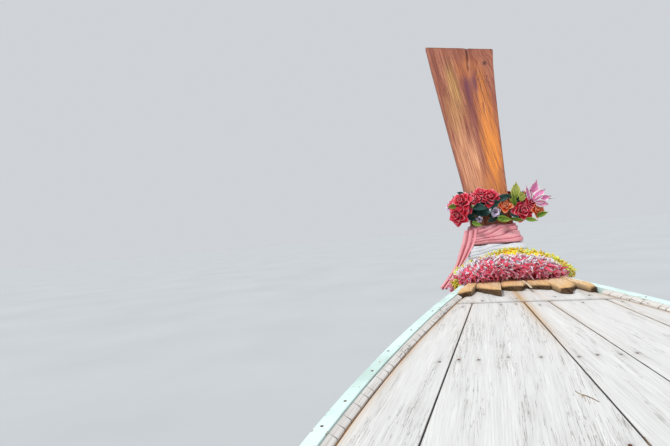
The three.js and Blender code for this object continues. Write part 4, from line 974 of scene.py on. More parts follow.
# Cap boards: low and high share of the half width, then the broken aft end as rows of share, x and height left there
caps = {"rows": [[.8, 1, [[.8, 3.552, .017], [1, 3.545, .01]]],
                 [.335, .79, [[.335, 3.521, .024], [.39, 3.534, .022], [.45, 3.547, .02], [.56, 3.571, .017],
                              [.7, 3.6, .013], [.79, 3.618, .01]]],
                 [-.16, .325, [[-.16, 3.614, .012], [-.06, 3.611, .013], [-.04, 3.582, .017], [.1, 3.586, .018],
                               [.2, 3.592, .017], [.27, 3.6, .013], [.325, 3.618, .006]]],
                 [-.46, -.17, [[-.46, 3.577, .014], [-.38, 3.58, .013], [-.31, 3.588, .014], [-.22, 3.594, .012],
                               [-.17, 3.606, .009]]],
                 [-.84, -.47, [[-.84, 3.575, .008], [-.75, 3.557, .01], [-.66, 3.532, .015], [-.6, 3.508, .022],
                               [-.53, 3.505, .022], [-.47, 3.516, .018]]],
                 [-1, -.85, [[-1, 3.538, .012], [-.93, 3.52, .016], [-.85, 3.512, .013]]]], "forwardX": 3.93,
        "thickness": .024, "lift": .0003, "worn": .014, "splinter": [[3.642, -.019], [3.552, -.03]]}


# A cap board with a broken aft end: the end follows its rows, the top wears down to the height left there as the
# distance from the end grows by e, and the end's face leans back under the top
def capShell(number, low, high, ends):
    across = np.linspace(0, 1, 60)[None, :]
    share = low + (high - low) * across
    ends = np.array(ends)
    start = np.interp(share, ends[:, 0], ends[:, 1]) + .0007 * ripple(across * 26, seed=number)
    left = np.interp(share, ends[:, 0], ends[:, 2])
    i = np.linspace(0, 1, 46)[:, None]**1.8
    x = start + (caps["forwardX"] - start) * i
    y = share * (halfBreadth(x) - hull["sheerEdge"] - .003)
    rim = np.abs(2 * across - 1)**12
    fall = np.exp(-((x - start) / caps["worn"])**1.3)
    torn = np.exp(-i / .012)
    z = deckTop(x) + caps["lift"]
    top = np.stack([x, y, z + caps["thickness"] - (caps["thickness"] - left) * fall - .0015 * rim
                    + .0007 * ripple(x * 12, y * 90, number)], -1)
    lean = .007 * torn * (.3 + .7 * softStep(ripple(across * 9, seed=number), -.3, .3))
    bottom = np.stack([x + lean, y, z + 0 * y], -1)
    shell = slabShell(top, bottom, x + number * 1.3, y + number * .4)
    # The end faces and the whole underside take the dark end tone: end grain, deepened by painted shade
    end = np.exp(-((x - start) / .007)**2).ravel()
    warm = np.clip(.7 * np.exp(-i / .14) + .4 * ripple(x * 20, y * 60, number), 0, 1) + 0 * y
    return shell, {"sawn": np.concatenate([end, np.ones(y.size)]), "warm": np.concatenate([warm.ravel(), 0 * end])}


for number, (low, high, ends) in enumerate(caps["rows"]):
    shell, marks = capShell(number, low, high, ends)
    makePiece(f"CapBoard{number + 1}", shell, cutWood, [f"cap_board_{number + 1}"], marks, sharp=40)

# A sliver split from the third board, lifted at its aft end
(ax, ay), (bx, by) = caps["splinter"]
s = np.linspace(0, 1, 9)
middle = np.stack([ax + (bx - ax) * s, ay + (by - ay) * s + .003 * s * s, deckTop(ax + (bx - ax) * s) + .0255
                   - .006 * s * s], 1)
wide = np.interp(s, [0, .3, 1], [.001, .0055, .004])
ring = np.stack([middle + [0, 1, 0] * wide[:, None], middle + [0, 0, .0022], middle - [0, 1, 0] * wide[:, None],
                 middle - [0, 0, .0022]], 1)
makePiece("CapSplinter", sweep(ring), paleSplit)

# Stem and prow. Stem: lead x and z, aft face x and z, width of the leading edge, port and starboard edge
stem = {"rows": [[2.3, -.345, 2.3, -.17, .09, .045, -.045], [2.8, -.318, 2.72, -.12, .084, .045, -.045],
                 [3.2, -.25, 3.06, -.03, .072, .045, -.045], [3.52, -.11, 3.31, .1, .064, .046, -.046],
                 [3.77, .14, 3.52, .29, .06, .052, -.052], [3.97, .43, 3.7, .5, .06, .062, -.062],
                 [4.15, .72, 3.875, .72, .064, .078, -.078], [4.32, 1.0, 4.014, .97, .072, .094, -.098]]}
# Prow: height, depth fore and aft, width of the leading edge, port and starboard edge, drop of the leading edge
prow = {"rows": [[1.01, .305, .074, .095, -.099, 0], [1.178, .294, .078, .097, -.103, 0],
                 [1.389, .281, .084, .107, -.107, 0], [1.654, .257, .1, .137, -.125, 0],
                 [1.952, .228, .122, .17, -.149, .01], [2.133, .209, .138, .19, -.166, .02],
                 [2.3005, .19, .154, .211, -.183, .036]], "aftX": 4.07, "aftZ": 1.09, "rake": np.tan(np.radians(25)),
        "headSlant": .2255, "crackY": -.036}


# A table of rows read at many even places between its first and last row
def refined(rows, count):
    rows = np.asarray(rows, float)
    numbered = np.concatenate([np.arange(len(rows))[:, None], rows], 1)
    place = np.linspace(0, len(rows) - 1, count)
    return np.stack([alongRows(numbered, column + 1, place) for column in range(rows.shape[1])], 1)


# One section: aft face from port to starboard, then the sides to the narrow leading edge
def stemSections(leadX, leadZ, aftX, aftZ, leadWidth, port, starboard, aftCount=8, grow=0.0):
    dx, dz = leadX - aftX, leadZ - aftZ
    size = np.hypot(dx, dz)
    middle = (port + starboard) / 2

    def at(share, y, extra):
        return np.stack([aftX + dx * share + dx / size * extra, y + 0 * aftX, aftZ + dz * share + dz / size * extra],
                        -1)

    corners = [at(0, port + grow, -grow), at(0, starboard - grow, -grow), at(.16, starboard - grow, 0),
               at(1, middle - leadWidth / 2 - grow, grow), at(1, middle + leadWidth / 2 + grow, grow),
               at(.16, port + grow, 0)]
    counts = [aftCount, 3, 10, 5, 10, 3]
    parts = []
    for a, b, count in zip(corners, corners[1:] + corners[:1], counts):
        share = np.linspace(0, 1, count, endpoint=False)[None, :, None]
        parts.append(a[:, None] + (b - a)[:, None] * share)
    return np.concatenate(parts, 1)


columns = refined(stem["rows"], 90)
makePiece("Stem", sweep(stemSections(*columns.T)), stemWood, ["stem"], sharp=40, bevel=.004)


def prowColumns(z, depth, leadWidth, port, starboard, drop):
    aftX = prow["aftX"] + prow["rake"] * (z - prow["aftZ"])
    return aftX + depth, z - drop, aftX, z, leadWidth, port, starboard


# Coloured patches on the aft face: mark, middle height, middle across as a share, half height, half width, strength
# The soot row along the starboard edge is a dark strip of painted shade on the face's shadow side; the one at the knot
# is the knot's own colour
patina = [
    ["golden", 2.03, .42, .13, .17, .62], ["golden", 1.9, .46, .14, .2, .42], ["golden", 1.8, .62, .12, .2, .4],
    ["plum", 1.99, -.04, .11, .06, 1.25], ["plum", 2.05, -.34, .09, .05, 1.15], ["plum", 1.97, -.2, .1, .22, .6],
    ["plum", 1.88, -.93, .1, .1, 1.0], ["plum", 1.78, -.1, .14, .12, .55], ["plum", 1.5, -.12, .1, .1, .35],
    ["orange", 1.6, -.6, .27, .3, 1.2], ["orange", 1.98, -.55, .12, .13, .8], ["orange", 1.82, -.5, .14, .2, .8],
    ["orange", 2.14, -.15, .06, .3, .35], ["orange", 1.4, -.3, .1, .5, .6], ["peach", 1.56, .1, .1, .1, 1.0],
    ["peach", 1.5, .5, .22, .4, .8], ["soot", 2.165, -.72, .012, .05, 1.2], ["soot", 1.5, -.99, .4, .02, .6],
]


def prowShell():
    table = refined(prow["rows"], 190)
    rings = stemSections(*prowColumns(*table.T), aftCount=54)
    n, k = rings.shape[:2]
    share = softStep(np.linspace(0, 1, n), 1 - 2 / 12, 1)[:, None]
    lift = share * prow["headSlant"] * rings[..., 1]
    rings[..., 0] += lift * prow["rake"]
    rings[..., 2] += lift
    z, y = rings[..., 2], rings[..., 1]
    face = np.zeros((n, k))
    face[:, 1:64] = 1
    half = (table[:, 3] - table[:, 4])[:, None] / 2
    middle = (table[:, 3] + table[:, 4])[:, None] / 2
    over = (y - middle) / half
    wander = .003 * ripple(z * 14, seed=5) + .11 * (2.3 - z)
    check = np.exp(-((y - prow["crackY"] - wander) / .0032)**2) * softStep(z, 2.06, 2.2)
    second = np.exp(-((y + .07 - .004 * ripple(z * 20, seed=8)) / .002)**2)
    second = second * softStep(z, 1.75, 1.9) * (1 - softStep(z, 2.1, 2.2))
    knot = np.exp(-((z - 2.165) / .012)**2 - ((y + .128) / .009)**2)
    adze = .0012 * ripple(z * 10, y * 25, 2) * (1 - np.abs(np.clip(over, -1, 1))**8)
    deep = face * (check * .012 + second * .004 + knot * .003 + adze)
    rings[..., 0] += deep * .906
    rings[..., 2] -= deep * .423
    marks = {name: np.zeros((n, k)) for name in ("golden", "plum", "orange", "peach", "soot")}
    for name, height, across, tall, wide, strength in patina:
        edge = .2 * ripple(z * 16, y * 90, len(name)) + .25 * ripple(z * 5, y * 260, 3)
        spot = np.exp(-((z - height) / tall)**2 - ((over - across) / wide)**2)
        marks[name] = np.maximum(marks[name], face * strength * np.clip(spot * 1.5 + edge * (spot > .05), 0, 1))
    # The cracks take the near-black tone as painted shade inside them, the knot as its own colour, and a band just
    # under the head is darkened
    marks["soot"] = np.maximum(marks["soot"], face * np.clip(check * 1.4 + second + knot, 0, 1))
    marks["soot"] = np.maximum(marks["soot"], .7 * softStep(z - lift, 2.285, 2.306))
    return sweep(rings, lengthwise=table[:, 0] * 1.1), marks


shell, marks = prowShell()
post = makePiece("ProwPost", shell, [prowWood, endGrainWood], ["prow_post"], marks, sharp=40, bevel=.003)
for polygon in post.data.polygons:
    if len(polygon.vertices) > 4:
        polygon.material_index = 1
print("bow made")

# Loops of x, y, z, half width and half height, from the middle of the aft side to port and round the stem
loops = {
    "yellow": [[3.797, -.02, 1.048, .036, .042], [3.792, .095, 1.026, .034, .033], [3.832, .18, .992, .03, .03],
               [3.93, .184, .975, .027, .027], [4.11, .128, .968, .024, .024], [4.33, .056, 1.004, .02, .02],
               [4.33, -.056, 1.004, .02, .02], [4.11, -.14, .975, .024, .024], [3.95, -.205, .972, .028, .028],
               [3.838, -.236, .967, .034, .033], [3.778, -.134, 1.026, .04, .035]],
    "pink": [[3.69, 0, 1.022, .044, .044], [3.688, .105, 1.018, .044, .044], [3.712, .181, .988, .036, .04],
             [3.84, .196, .94, .032, .036], [4.05, .145, .882, .026, .032], [4.284, .056, .88, .022, .028],
             [4.284, -.056, .88, .022, .028], [4.05, -.145, .882, .026, .032], [3.85, -.18, .945, .032, .036],
             [3.718, -.14, .99, .038, .04], [3.684, -.07, 1.014, .044, .044]],
    "flower": [[4.118, -.02, 1.318, .046, .044], [4.112, .1, 1.31, .052, .062], [4.15, .168, 1.3, .046, .06],
               [4.3, .122, 1.33, .024, .026], [4.48, .04, 1.362, .016, .018], [4.48, -.04, 1.362, .016, .018],
               [4.3, -.122, 1.33, .024, .026], [4.15, -.19, 1.3, .056, .074], [4.108, -.13, 1.296, .054, .06]],
}
# Petals of a garland: how many, length, half width, angles round the loop (a quarter turn is up), how much they
# lean, and the tone at base and tip
# The tone runs from deep at each petal's base to pale at its tip: painted shade among the petals and painted light on
# the tips. The pink garland's upper petals are pale and its lower ones deep red, partly painted light above and painted
# shade below
garlands = {"yellow": {"material": yellowPetal,
                       "parts": [{"count": 4300, "length": (.01, .019), "width": .0042, "angles": (0, 6.28), "lean": .9,
                                  "tone": (.2, .95)}]},
            "pink": {"material": pinkPetal,
                     "parts": [{"count": 2500, "length": (.013, .023), "width": .005, "angles": (.2, 3.4), "lean": .8,
                                "tone": (.58, 1.2)}, {"count": 1700, "length": (.015, .025), "width": .006,
                                                      "angles": (3.2, 6.5), "lean": .65, "tone": (.0, .36)},
                               {"count": 800, "length": (.026, .038), "width": .0056, "angles": (2.75, 3.6),
                                "lean": .45, "drop": .55, "tone": (.0, .42)}]}, "profile": [.75, 1.0, .5],
            "thickness": .0005, "start": .84, "tuft": [[3.73, .225, .95], .034]}


def loopFrame(rows, count):
    table = curveThrough(rows, count, closed=True)
    return table, *framesAlong(table[:, :3], closed=True)[1:]


# The core inside a garland, a share as thick as its loop; every core has the same number of points
corePoints = (72, 14)


def loopCore(rows, share):
    table = curveThrough(rows, corePoints[0], closed=True)
    return roundBar(table[:, :3], share * table[:, 3:], corePoints[1], closed=True)


def coreTone(tone):
    return np.full(corePoints[0] * corePoints[1], tone)


# Curled strips standing on a loop: each one starts inside the loop, leans by chance and bends as its length squared
def curledPetals(rows, part, seed):
    chance = np.random.default_rng(seed)
    count = part["count"]
    table, across, over = loopFrame(rows, 600)
    reach = distances(table[:, :3])
    at = np.searchsorted(reach, chance.random(count) * reach[-1])
    angle = chance.uniform(*part["angles"], count)
    aside, above = np.cos(angle)[:, None] * across[at], np.sin(angle)[:, None] * over[at]
    base = table[at, :3] + garlands["start"] * (table[at, 3:4] * aside + table[at, 4:5] * above)
    heading = unit(aside + above + part["lean"] * chance.normal(0, .6, (count, 3)) - [0, 0, part.get("drop", 0)])
    bend = unit(np.cross(heading, chance.normal(0, 1, (count, 3))))
    side = np.cross(heading, bend)
    profile = np.array(garlands["profile"])
    s = np.linspace(0, 1, len(profile))[None, :, None]
    long = chance.uniform(*part["length"], count)[:, None, None]
    curl = chance.uniform(.3, 1.1, count)[:, None, None]
    line = base[:, None] + long * ((s - .25 * curl * s**2) * heading[:, None] + curl * s**2 * bend[:, None])
    wide = part["width"] * chance.uniform(.7, 1.3, count)[:, None, None] * profile[None, :, None]
    thin = garlands["thickness"]
    ring = np.stack([line + side[:, None] * wide, line + bend[:, None] * thin, line - side[:, None] * wide,
                     line - bend[:, None] * thin], 2)
    steps = len(profile)
    index = np.arange(steps * 4).reshape(steps, 4)
    quads = np.stack([index[:-1], np.roll(index[:-1], -1, 1), np.roll(index[1:], -1, 1), index[1:]], -1).reshape(-1, 4)
    quads = np.concatenate([quads, [index[0][::-1], index[-1]]])
    flat = np.concatenate([np.repeat(s.ravel(), 4)[:, None] * .02, np.tile([0, .004, .008, .004], steps)[:, None]], 1)
    uv = np.tile(flat[quads.reshape(-1)], (count, 1))
    low, high = part["tone"]
    # Deep at the base and pale at the tip: painted shade among the petals, painted light on the tips
    tone = low + (high - low) * s**1.4 + chance.normal(0, .09, count)[:, None, None]
    quads = (quads[None] + (np.arange(count) * steps * 4)[:, None, None]).reshape(-1, 4)
    return ({"points": ring.reshape(-1, 3), "quads": quads, "caps": [], "uv": uv},
            np.repeat(tone[..., 0][:, :, None], 4, 2).ravel())


# The petals near the port end of the pink garland are yellow: a tuft of the other garland tied in
for seed, name in enumerate(("yellow", "pink")):
    look = garlands[name]
    # The core between the petals takes a deep tone, painted shade among the petals
    shells, tone = [loopCore(loops[name], .82)], [coreTone(.22)]
    for part in look["parts"]:
        petals, petalTone = curledPetals(loops[name], part, seed + 11)
        shells.append(petals)
        tone.append(np.clip(petalTone, 0, 1))
    shell = joined(shells)
    piece = makePiece(f"{name.title()}Garland", shell, [look["material"], yellowPetal], [f"{name}_garland"],
                      {"tone": np.concatenate(tone)}, sharp=0)
    place, reach = garlands["tuft"]
    centre = shell["points"][shell["quads"]].mean(1)
    inTuft = (np.linalg.norm(centre - place, axis=1) < reach) & (name == "pink")
    piece.data.polygons.foreach_set("material_index", inTuft.astype(np.int32))
print("garlands made")

# A cupped petal: u across from -1 to 1, v from base to tip; it narrows at both ends and its rim rolls back
def petalGrid(length, width, cup, roll, point=.8, across=5, along=6):
    u = np.linspace(-1, 1, across)[None, :]
    v = np.linspace(0, 1, along)[:, None]
    wide = width * np.sin(np.pi * np.clip(.12 + point * v, 0, .995))**.7
    z = length * v
    y = cup * u**2 * wide + roll * v**3 * length - .35 * cup * length * v * (1 - v)
    return np.stack([wide * u + 0 * z, y, z + 0 * u - .12 * length * u**2 * v], -1), u + 0 * v, v + 0 * u


# A bloom: rings of petals round an axis, opening further in each ring; rows are count, length, width, cup, roll, lean.
# The tone rises in the outer rings, the deeper inner rings being painted shade in the bloom's heart, and is palest
# along each rim: on the lily its own white edge, on the other kinds partly a painted highlight at the tips
def bloom(centre, axis, size, rings, seed, rim):
    chance = np.random.default_rng(seed)
    axis = unit(axis)
    across = unit(np.cross(axis, [.13, .31, .94]))
    basis = np.stack([across, np.cross(axis, across), axis], 1)
    shells, tones = [], []
    for number, (count, length, width, cup, roll, lean) in enumerate(rings):
        for k in range(int(count)):
            turn = 2 * np.pi * (k / count) + number * .9 + chance.normal(0, .12)
            tilt = lean + chance.normal(0, .08)
            grid, u, v = petalGrid(length, width, cup, roll, .8 if rim != "edge" else .87)
            grid = grid * chance.uniform(.9, 1.1)
            cosT, sinT, cosR, sinR = np.cos(tilt), np.sin(tilt), np.cos(turn), np.sin(turn)
            px, py, pz = np.moveaxis(grid, -1, 0)
            py, pz = py * cosT - pz * sinT - .06 * number, py * sinT + pz * cosT
            spun = np.stack([px * cosR - py * sinR, px * sinR + py * cosR, pz - .35], -1)
            shells.append(sheetShell(np.asarray(centre) + size * (spun @ basis.T)))
            pale = u**4 * .75 if rim == "edge" else .6 * np.clip(v**5 + .5 * u**6 * v, 0, 1)
            tones.append((.22 + .1 * number / len(rings) + pale + chance.normal(0, .05)).ravel())
    return shells, tones


rosePetals = [[3, .8, .3, .9, -.05, -.02], [4, .85, .42, .8, -.1, .18], [5, .9, .5, .6, -.2, .5],
              [5, .95, .55, .5, -.3, .85], [6, 1.0, .55, .4, -.35, 1.2]]
kinds = {
    "rose": {"rings": rosePetals, "material": rosePetal, "rim": "tip"},
    "orange": {"rings": rosePetals[:4], "material": orangePetal, "rim": "tip"},
    "lily": {"rings": [[3, 1.6, .36, .3, -.4, .7], [3, 1.5, .3, .3, -.45, .85]], "material": lilyPetal, "rim": "edge"},
    "lilac": {"rings": [[5, .9, .5, .3, -.2, .7], [5, 1.0, .5, .3, -.2, 1.1]], "material": lilacPetal, "rim": "tip"},
    "bud": {"rings": [[3, 1.0, .45, .9, 0, .02], [3, 1.05, .5, .8, 0, .12]], "material": budPetal, "rim": "tip"},
}
# On the aft side of the ring: kind, y, z, size, and how far its face turns to port and up
flowerRows = [
    ["rose", .142, 1.324, .046, .5, .45], ["rose", .163, 1.258, .046, .7, -.1], ["rose", .077, 1.336, .03, .1, .5],
    ["rose", .045, 1.36, .027, 0, .8], ["rose", .001, 1.334, .041, -.1, .35], ["orange", -.065, 1.286, .036, 0, .25],
    ["rose", -.144, 1.253, .046, -.15, .1], ["orange", -.21, 1.25, .037, -.5, 0], ["lilac", -.016, 1.256, .03, 0, 0],
    ["bud", .089, 1.295, .018, .1, .2], ["bud", -.15, 1.32, .02, -.2, .5], ["bud", -.094, 1.304, .018, -.3, .9],
    ["lilac", .062, 1.226, .017, .2, -.3], ["rose", .118, 1.285, .028, .2, 0], ["rose", -.185, 1.29, .03, -.3, .4],
]
# Single long petals and leaves: kind, y and z of base and tip, half width
sprigs = [["lily", -.185, 1.298, -.212, 1.394, .027], ["lily", -.188, 1.296, -.246, 1.345, .022],
          ["lily", -.196, 1.292, -.266, 1.31, .021], ["lily", -.205, 1.312, -.284, 1.298, .008],
          ["lily", -.172, 1.302, -.158, 1.372, .011], ["lily", -.2, 1.285, -.252, 1.272, .02],
          ["lily", -.18, 1.31, -.175, 1.352, .016], ["bud", -.108, 1.315, -.117, 1.394, .022],
          ["bud", -.112, 1.325, -.098, 1.38, .014], ["bud", -.145, 1.306, -.132, 1.345, .017],
          ["bud", -.13, 1.3, -.155, 1.33, .014], ["dark", .1, 1.3, .02, 1.272, .022],
          ["dark", .09, 1.27, .015, 1.24, .02], ["dark", .1, 1.24, .04, 1.222, .018],
          ["dark", .03, 1.29, -.05, 1.31, .02], ["dark", .01, 1.245, -.07, 1.232, .02],
          ["dark", .05, 1.262, -.02, 1.27, .02], ["dark", -.03, 1.31, -.095, 1.335, .018],
          ["dark", -.07, 1.27, -.12, 1.3, .02], ["dark", .12, 1.35, .16, 1.37, .012],
          ["dark", -.09, 1.25, -.12, 1.215, .018], ["dark", .115, 1.262, .085, 1.215, .018],
          ["dark", -.02, 1.23, .03, 1.215, .016], ["leaf", .1, 1.215, .055, 1.192, .01],
          ["leaf", .06, 1.2, .1, 1.2, .008], ["leaf", -.02, 1.225, -.085, 1.21, .015],
          ["leaf", -.08, 1.222, -.14, 1.206, .013], ["leaf", -.05, 1.235, -.02, 1.208, .012],
          ["leaf", -.15, 1.21, -.2, 1.196, .011], ["leaf", .17, 1.3, .215, 1.3, .012],
          ["leaf", -.11, 1.28, -.098, 1.34, .012], ["leaf", -.2, 1.22, -.25, 1.235, .012]]
flowerX = 4.078  # middle of the blooms on the ring's aft side


# One petal or leaf from base to tip, bowed towards the viewer
def sprigShell(base, tip, half, seed):
    chance = np.random.default_rng(seed)
    base, tip = np.asarray(base, float), np.asarray(tip, float)
    heading = unit(tip - base)
    side = unit(np.cross(heading, [-1, chance.normal(0, .35), chance.normal(0, .35)]))
    flat = np.cross(side, heading)
    grid, u, v = petalGrid(1.0, .5, .5, .1, .87)
    long = np.linalg.norm(tip - base)
    points = base + grid[..., :1] * 2 * half * side + grid[..., 1:2] * long * .5 * flat + grid[..., 2:] * long * heading
    return sheetShell(points), u, v


gathered = {}


def gather(material, shells, tones):
    entry = gathered.setdefault(material.name, [material, [], []])
    entry[1].extend(shells)
    entry[2].extend(tones)


for k, (kind, y, z, size, aside, up) in enumerate(flowerRows):
    gather(kinds[kind]["material"], *bloom([flowerX, y, z], [-1, aside, up], size, kinds[kind]["rings"], k + 7,
                                           kinds[kind]["rim"]))
for k, (kind, y, z, tipY, tipZ, half) in enumerate(sprigs):
    # Dark leaves sit a little further back, near-black behind the blooms, as painted shade in the gaps between them
    near = .008 * (k % 3) - (.03 if kind == "dark" else 0)
    shell, u, v = sprigShell([4.068 - near, y, z], [4.05 - near, tipY, tipZ], half, k)
    tone = .27 + .72 * u**4 + .12 * v if kind == "lily" else .35 + .3 * v + .2 * u**2
    gather({"lily": lilyPetal, "bud": budPetal, "dark": darkLeafAndShade, "leaf": leafGreen}[kind], [shell], [tone.ravel()])
# Round the sides and the front the ring carries smaller roses, lilacs and leaves
table = loopFrame(loops["flower"], 60)[0]
for k, at in enumerate(range(11, 50, 3)):
    outward = table[at, :3] - [4.22, 0, 1.32]
    outward[2] = .1
    kind = kinds[("rose", "lilac", "rose", "orange")[k % 4]]
    size = .026 if 20 < at < 40 else .036
    place = table[at, :3] + .6 * table[at, 3] * unit(outward)
    gather(kind["material"], *bloom(place, outward, size, kind["rings"], k + 40, kind["rim"]))
# Leaves all round the ring, two in three of them near-black, which darkens the ring with painted shade as well as leaf
# colour
chance = np.random.default_rng(5)
table, across, over = loopFrame(loops["flower"], 400)
for k in range(170):
    at, angle = chance.integers(400), chance.uniform(0, 2 * np.pi)
    aside, above = np.cos(angle) * across[at], np.sin(angle) * over[at]
    base = table[at, :3] + .35 * (table[at, 3] * aside + table[at, 4] * above)
    heading = unit(aside + above + chance.normal(0, .6, 3))
    long = min(chance.uniform(.03, .05), table[at, 3] * 1.25)
    shell, u, v = sprigShell(base, base + long * heading, chance.uniform(.006, .011), k + 90)
    gather(darkLeafAndShade if k % 3 else leafGreen, [shell], [np.clip(chance.uniform(.1, .8) + .2 * v, 0, 1).ravel()])
for name, (material, shells, tones) in gathered.items():
    makePiece(titled(name), shells, material, (), {"tone": np.clip(np.concatenate(tones), 0, 1)}, sharp=0, thick=.0008,
              outward=False)
# The ring's core is in the near-black leaf tone, a dark backing of painted shade behind the flowers
makePiece("FlowerRing", loopCore(loops["flower"], .42), darkLeafAndShade, ["flower_garland"], {"tone": coreTone(.1)}, sharp=0)
print("flowers made")

# Cloths wound round the prow. Rows are height, how far the middle stands off, and a further bulge to starboard
wraps = {"pink": {"rows": [[1.1035, .017, .016], [1.125, .022, .008], [1.15, .016, .002], [1.18, .014, 0],
                           [1.1955, .008, 0]], "pleats": 3.6, "fan": .5, "depth": .011, "material": pinkCloth,
                  "node": "pink_cloth"}, "white": {"rows": [[1.031, .028, .022], [1.05, .034, .018], [1.08, .03, .013],
                                                            [1.101, .018, .015]], "pleats": 2.4, "fan": .4,
                                                   "depth": .007, "material": whiteCloth, "node": "white_cloth"}}


# The prow's outline at a height, as even steps round it with the outward direction at each
def prowOutline(z, count):
    columns = [np.array([float(alongRows(prow["rows"], c, max(z, 1.01)))]) for c in range(1, 5)]
    ring = stemSections(*prowColumns(np.array([z]), *columns, np.zeros(1)), aftCount=30)[0]
    loop = np.concatenate([ring, ring[:1]])
    length = distances(loop)
    even = np.linspace(0, length[-1], count, endpoint=False)
    points = np.stack([np.interp(even, length, loop[:, k]) for k in range(3)], 1)
    smooth = points.copy()
    for _ in range(6):
        smooth = (np.roll(smooth, 1, 0) + 2 * smooth + np.roll(smooth, -1, 0)) / 4
    ahead = np.roll(smooth, -2, 0) - np.roll(smooth, 2, 0)
    out = unit(np.cross(ahead, [0, 0, 1.0]))
    if (out * (smooth - smooth.mean(0))).sum() < 0:
        out = -out
    return smooth, out, even / length[-1]


# Pleats fan out from port to starboard: the fold number is the height share over a spread that grows across,
# so the folds crowd together on the port side; each swells in a rounded saw and ends in a narrow dark line, painted
# shade in its crease
def wrapGrid(look, seed, around=184, up=50):
    rows = np.array(look["rows"])
    low, high = rows[0, 0], rows[-1, 0]
    grid, folds = [], []
    for share in np.linspace(0, 1, up):
        z = low + (high - low) * share
        base, out, turn = prowOutline(z, around)
        off, bulge = (np.interp(z, rows[:, 0], rows[:, k]) for k in (1, 2))
        aside = np.clip((.12 - base[:, 1]) / .24, 0, 1)
        spread = look["fan"] + (1 - look["fan"]) * aside
        phase = look["pleats"] * share / spread + .45 * ripple(turn * 10, share * 2, seed=seed)
        phase = phase + .4 * ripple(turn * 3, share * 4, seed=seed + 6)
        saw = phase % 1
        fold = saw**.5 * (1 - softStep(saw, .86, 1))
        hem = softStep(share, 0, .04) * (1 - softStep(share, .96, 1))
        lift = .004 * ripple(turn * 31, seed=seed + 4) * softStep(share, .7, 1)
        puff = bulge * softStep(aside, .6, 1)
        point = base + out * ((off + puff + look["depth"] * (fold - .5)) * hem + .001)[:, None]
        point[:, 2] += lift
        grid.append(point)
        folds.append(np.clip((1 - fold * 1.8), 0, 1) * np.clip(.7 + .5 * ripple(turn * 5, share * 4, seed=seed + 9),
                                                               .25, 1))
    return np.array(grid), np.array(folds)


def closedSheet(grid):
    looped = np.concatenate([grid, grid[:, :1]], 1)
    shell = sheetShell(looped)
    n, k = looped.shape[:2]
    renumber = np.arange(n * k).reshape(n, k)
    renumber[:, -1] = renumber[:, 0]
    shell["quads"] = renumber.ravel()[shell["quads"]]
    keep = np.unique(shell["quads"])
    lookup = np.zeros(n * k, int)
    lookup[keep] = np.arange(len(keep))
    return {**shell, "points": shell["points"][keep], "quads": lookup[shell["quads"]]}


for name, look in wraps.items():
    grid, folds = wrapGrid(look, len(name))
    piece = makePiece(f"{name.title()}Wrap", closedSheet(grid), look["material"], [look["node"]],
                      {"fold": folds.ravel()}, sharp=0, thick=.0016)

# The pink cloth's end comes out of the band on the port side and hangs over both garlands, its width across the boat.
# Rows are x, y, z and half width; it is folded twice along its length
clothEnd = {"rows": [[4.088, .106, 1.178, .03], [4.068, .122, 1.124, .031], [4.05, .151, 1.066, .026],
                     [4.038, .184, 1.008, .017], [4.02, .225, .955, .016], [4.002, .264, .906, .021]], "steps": 60,
            "across": 34, "folds": 2.4, "depth": .0045}
path = curveThrough(clothEnd["rows"], clothEnd["steps"])
along = np.linspace(0, 1, clothEnd["steps"])[:, None]
u = np.linspace(-1, 1, clothEnd["across"])[None, :]
phase = clothEnd["folds"] * np.pi * u + .8 * np.sin(3 * along) + .4
fold = np.cos(phase)
hang = np.stack([path[:, None, 0] - clothEnd["depth"] * fold * (.5 + .6 * along) + .004 * u * along,
                 path[:, None, 1] + path[:, None, 3] * (u + .1 * np.sin(2 * phase) * along),
                 path[:, None, 2] + .006 * u**2 * along + .004 * fold * softStep(along, .9, 1)], -1)
# The hollows of its folds are darkened as painted shade
tail = makePiece("PinkClothEnd", sheetShell(hang), pinkCloth, (),
                 {"fold": np.clip(-.9 * fold - .1, 0, .85).ravel()}, sharp=0, thick=.0016)
print("cloths made")

# Canopy: one sheet bent over the bows; between them it sags, and its hem hangs straight
canopy = {"railZ": 1.6, "rise": .19, "railY": .885, "reach": .907, "foreX": 1.13, "aftX": -2.63, "hemDrop": .095,
          "bowXs": [1.075, .1, -.75, -1.6, -2.575], "sag": .028, "lift": .016}
railY, railZ = canopy["railY"], canopy["railZ"]


def canopyGrid():
    stitched = [bow + side * offset for bow in canopy["bowXs"][1:-1] for side in (1, -1)
                for offset in (.018, .021, .024)]
    x = np.sort(np.concatenate([np.linspace(canopy["aftX"], canopy["foreX"], 96), stitched]))[::-1, None]
    hem, arch = 7, 66
    s = np.linspace(-1, 1, arch)
    y = np.concatenate([np.full(hem, -canopy["reach"] - .003), s * canopy["reach"],
                        np.full(hem, canopy["reach"] + .003)])[None, :]
    top = railZ + canopy["lift"] + canopy["rise"] * (1 - (y / canopy["reach"])**2)
    drop = np.linspace(canopy["hemDrop"] + .016, .002, hem)
    fall = np.concatenate([drop, np.zeros(arch), drop[::-1]])[None, :]
    bows = np.sort(np.array(canopy["bowXs"]))
    i = np.clip(np.searchsorted(bows, x) - 1, 0, len(bows) - 2)
    share = np.clip((x - bows[i]) / (bows[i + 1] - bows[i]), 0, 1)
    slack = 4 * share * (1 - share)
    inside = np.clip(1 - (y / canopy["reach"])**6, 0, 1)
    pucker = .0022 * np.sin(y * 60) * np.exp(-share * (1 - share) * 40)
    z = top - fall - canopy["sag"] * slack * inside + pucker * inside + .002 * ripple(x * 5, y * 6)
    flutter = .005 * ripple(x * 7, seed=2) * (fall / canopy["hemDrop"])
    return np.stack([x + 0 * y, y + np.sign(y) * flutter, z], -1)


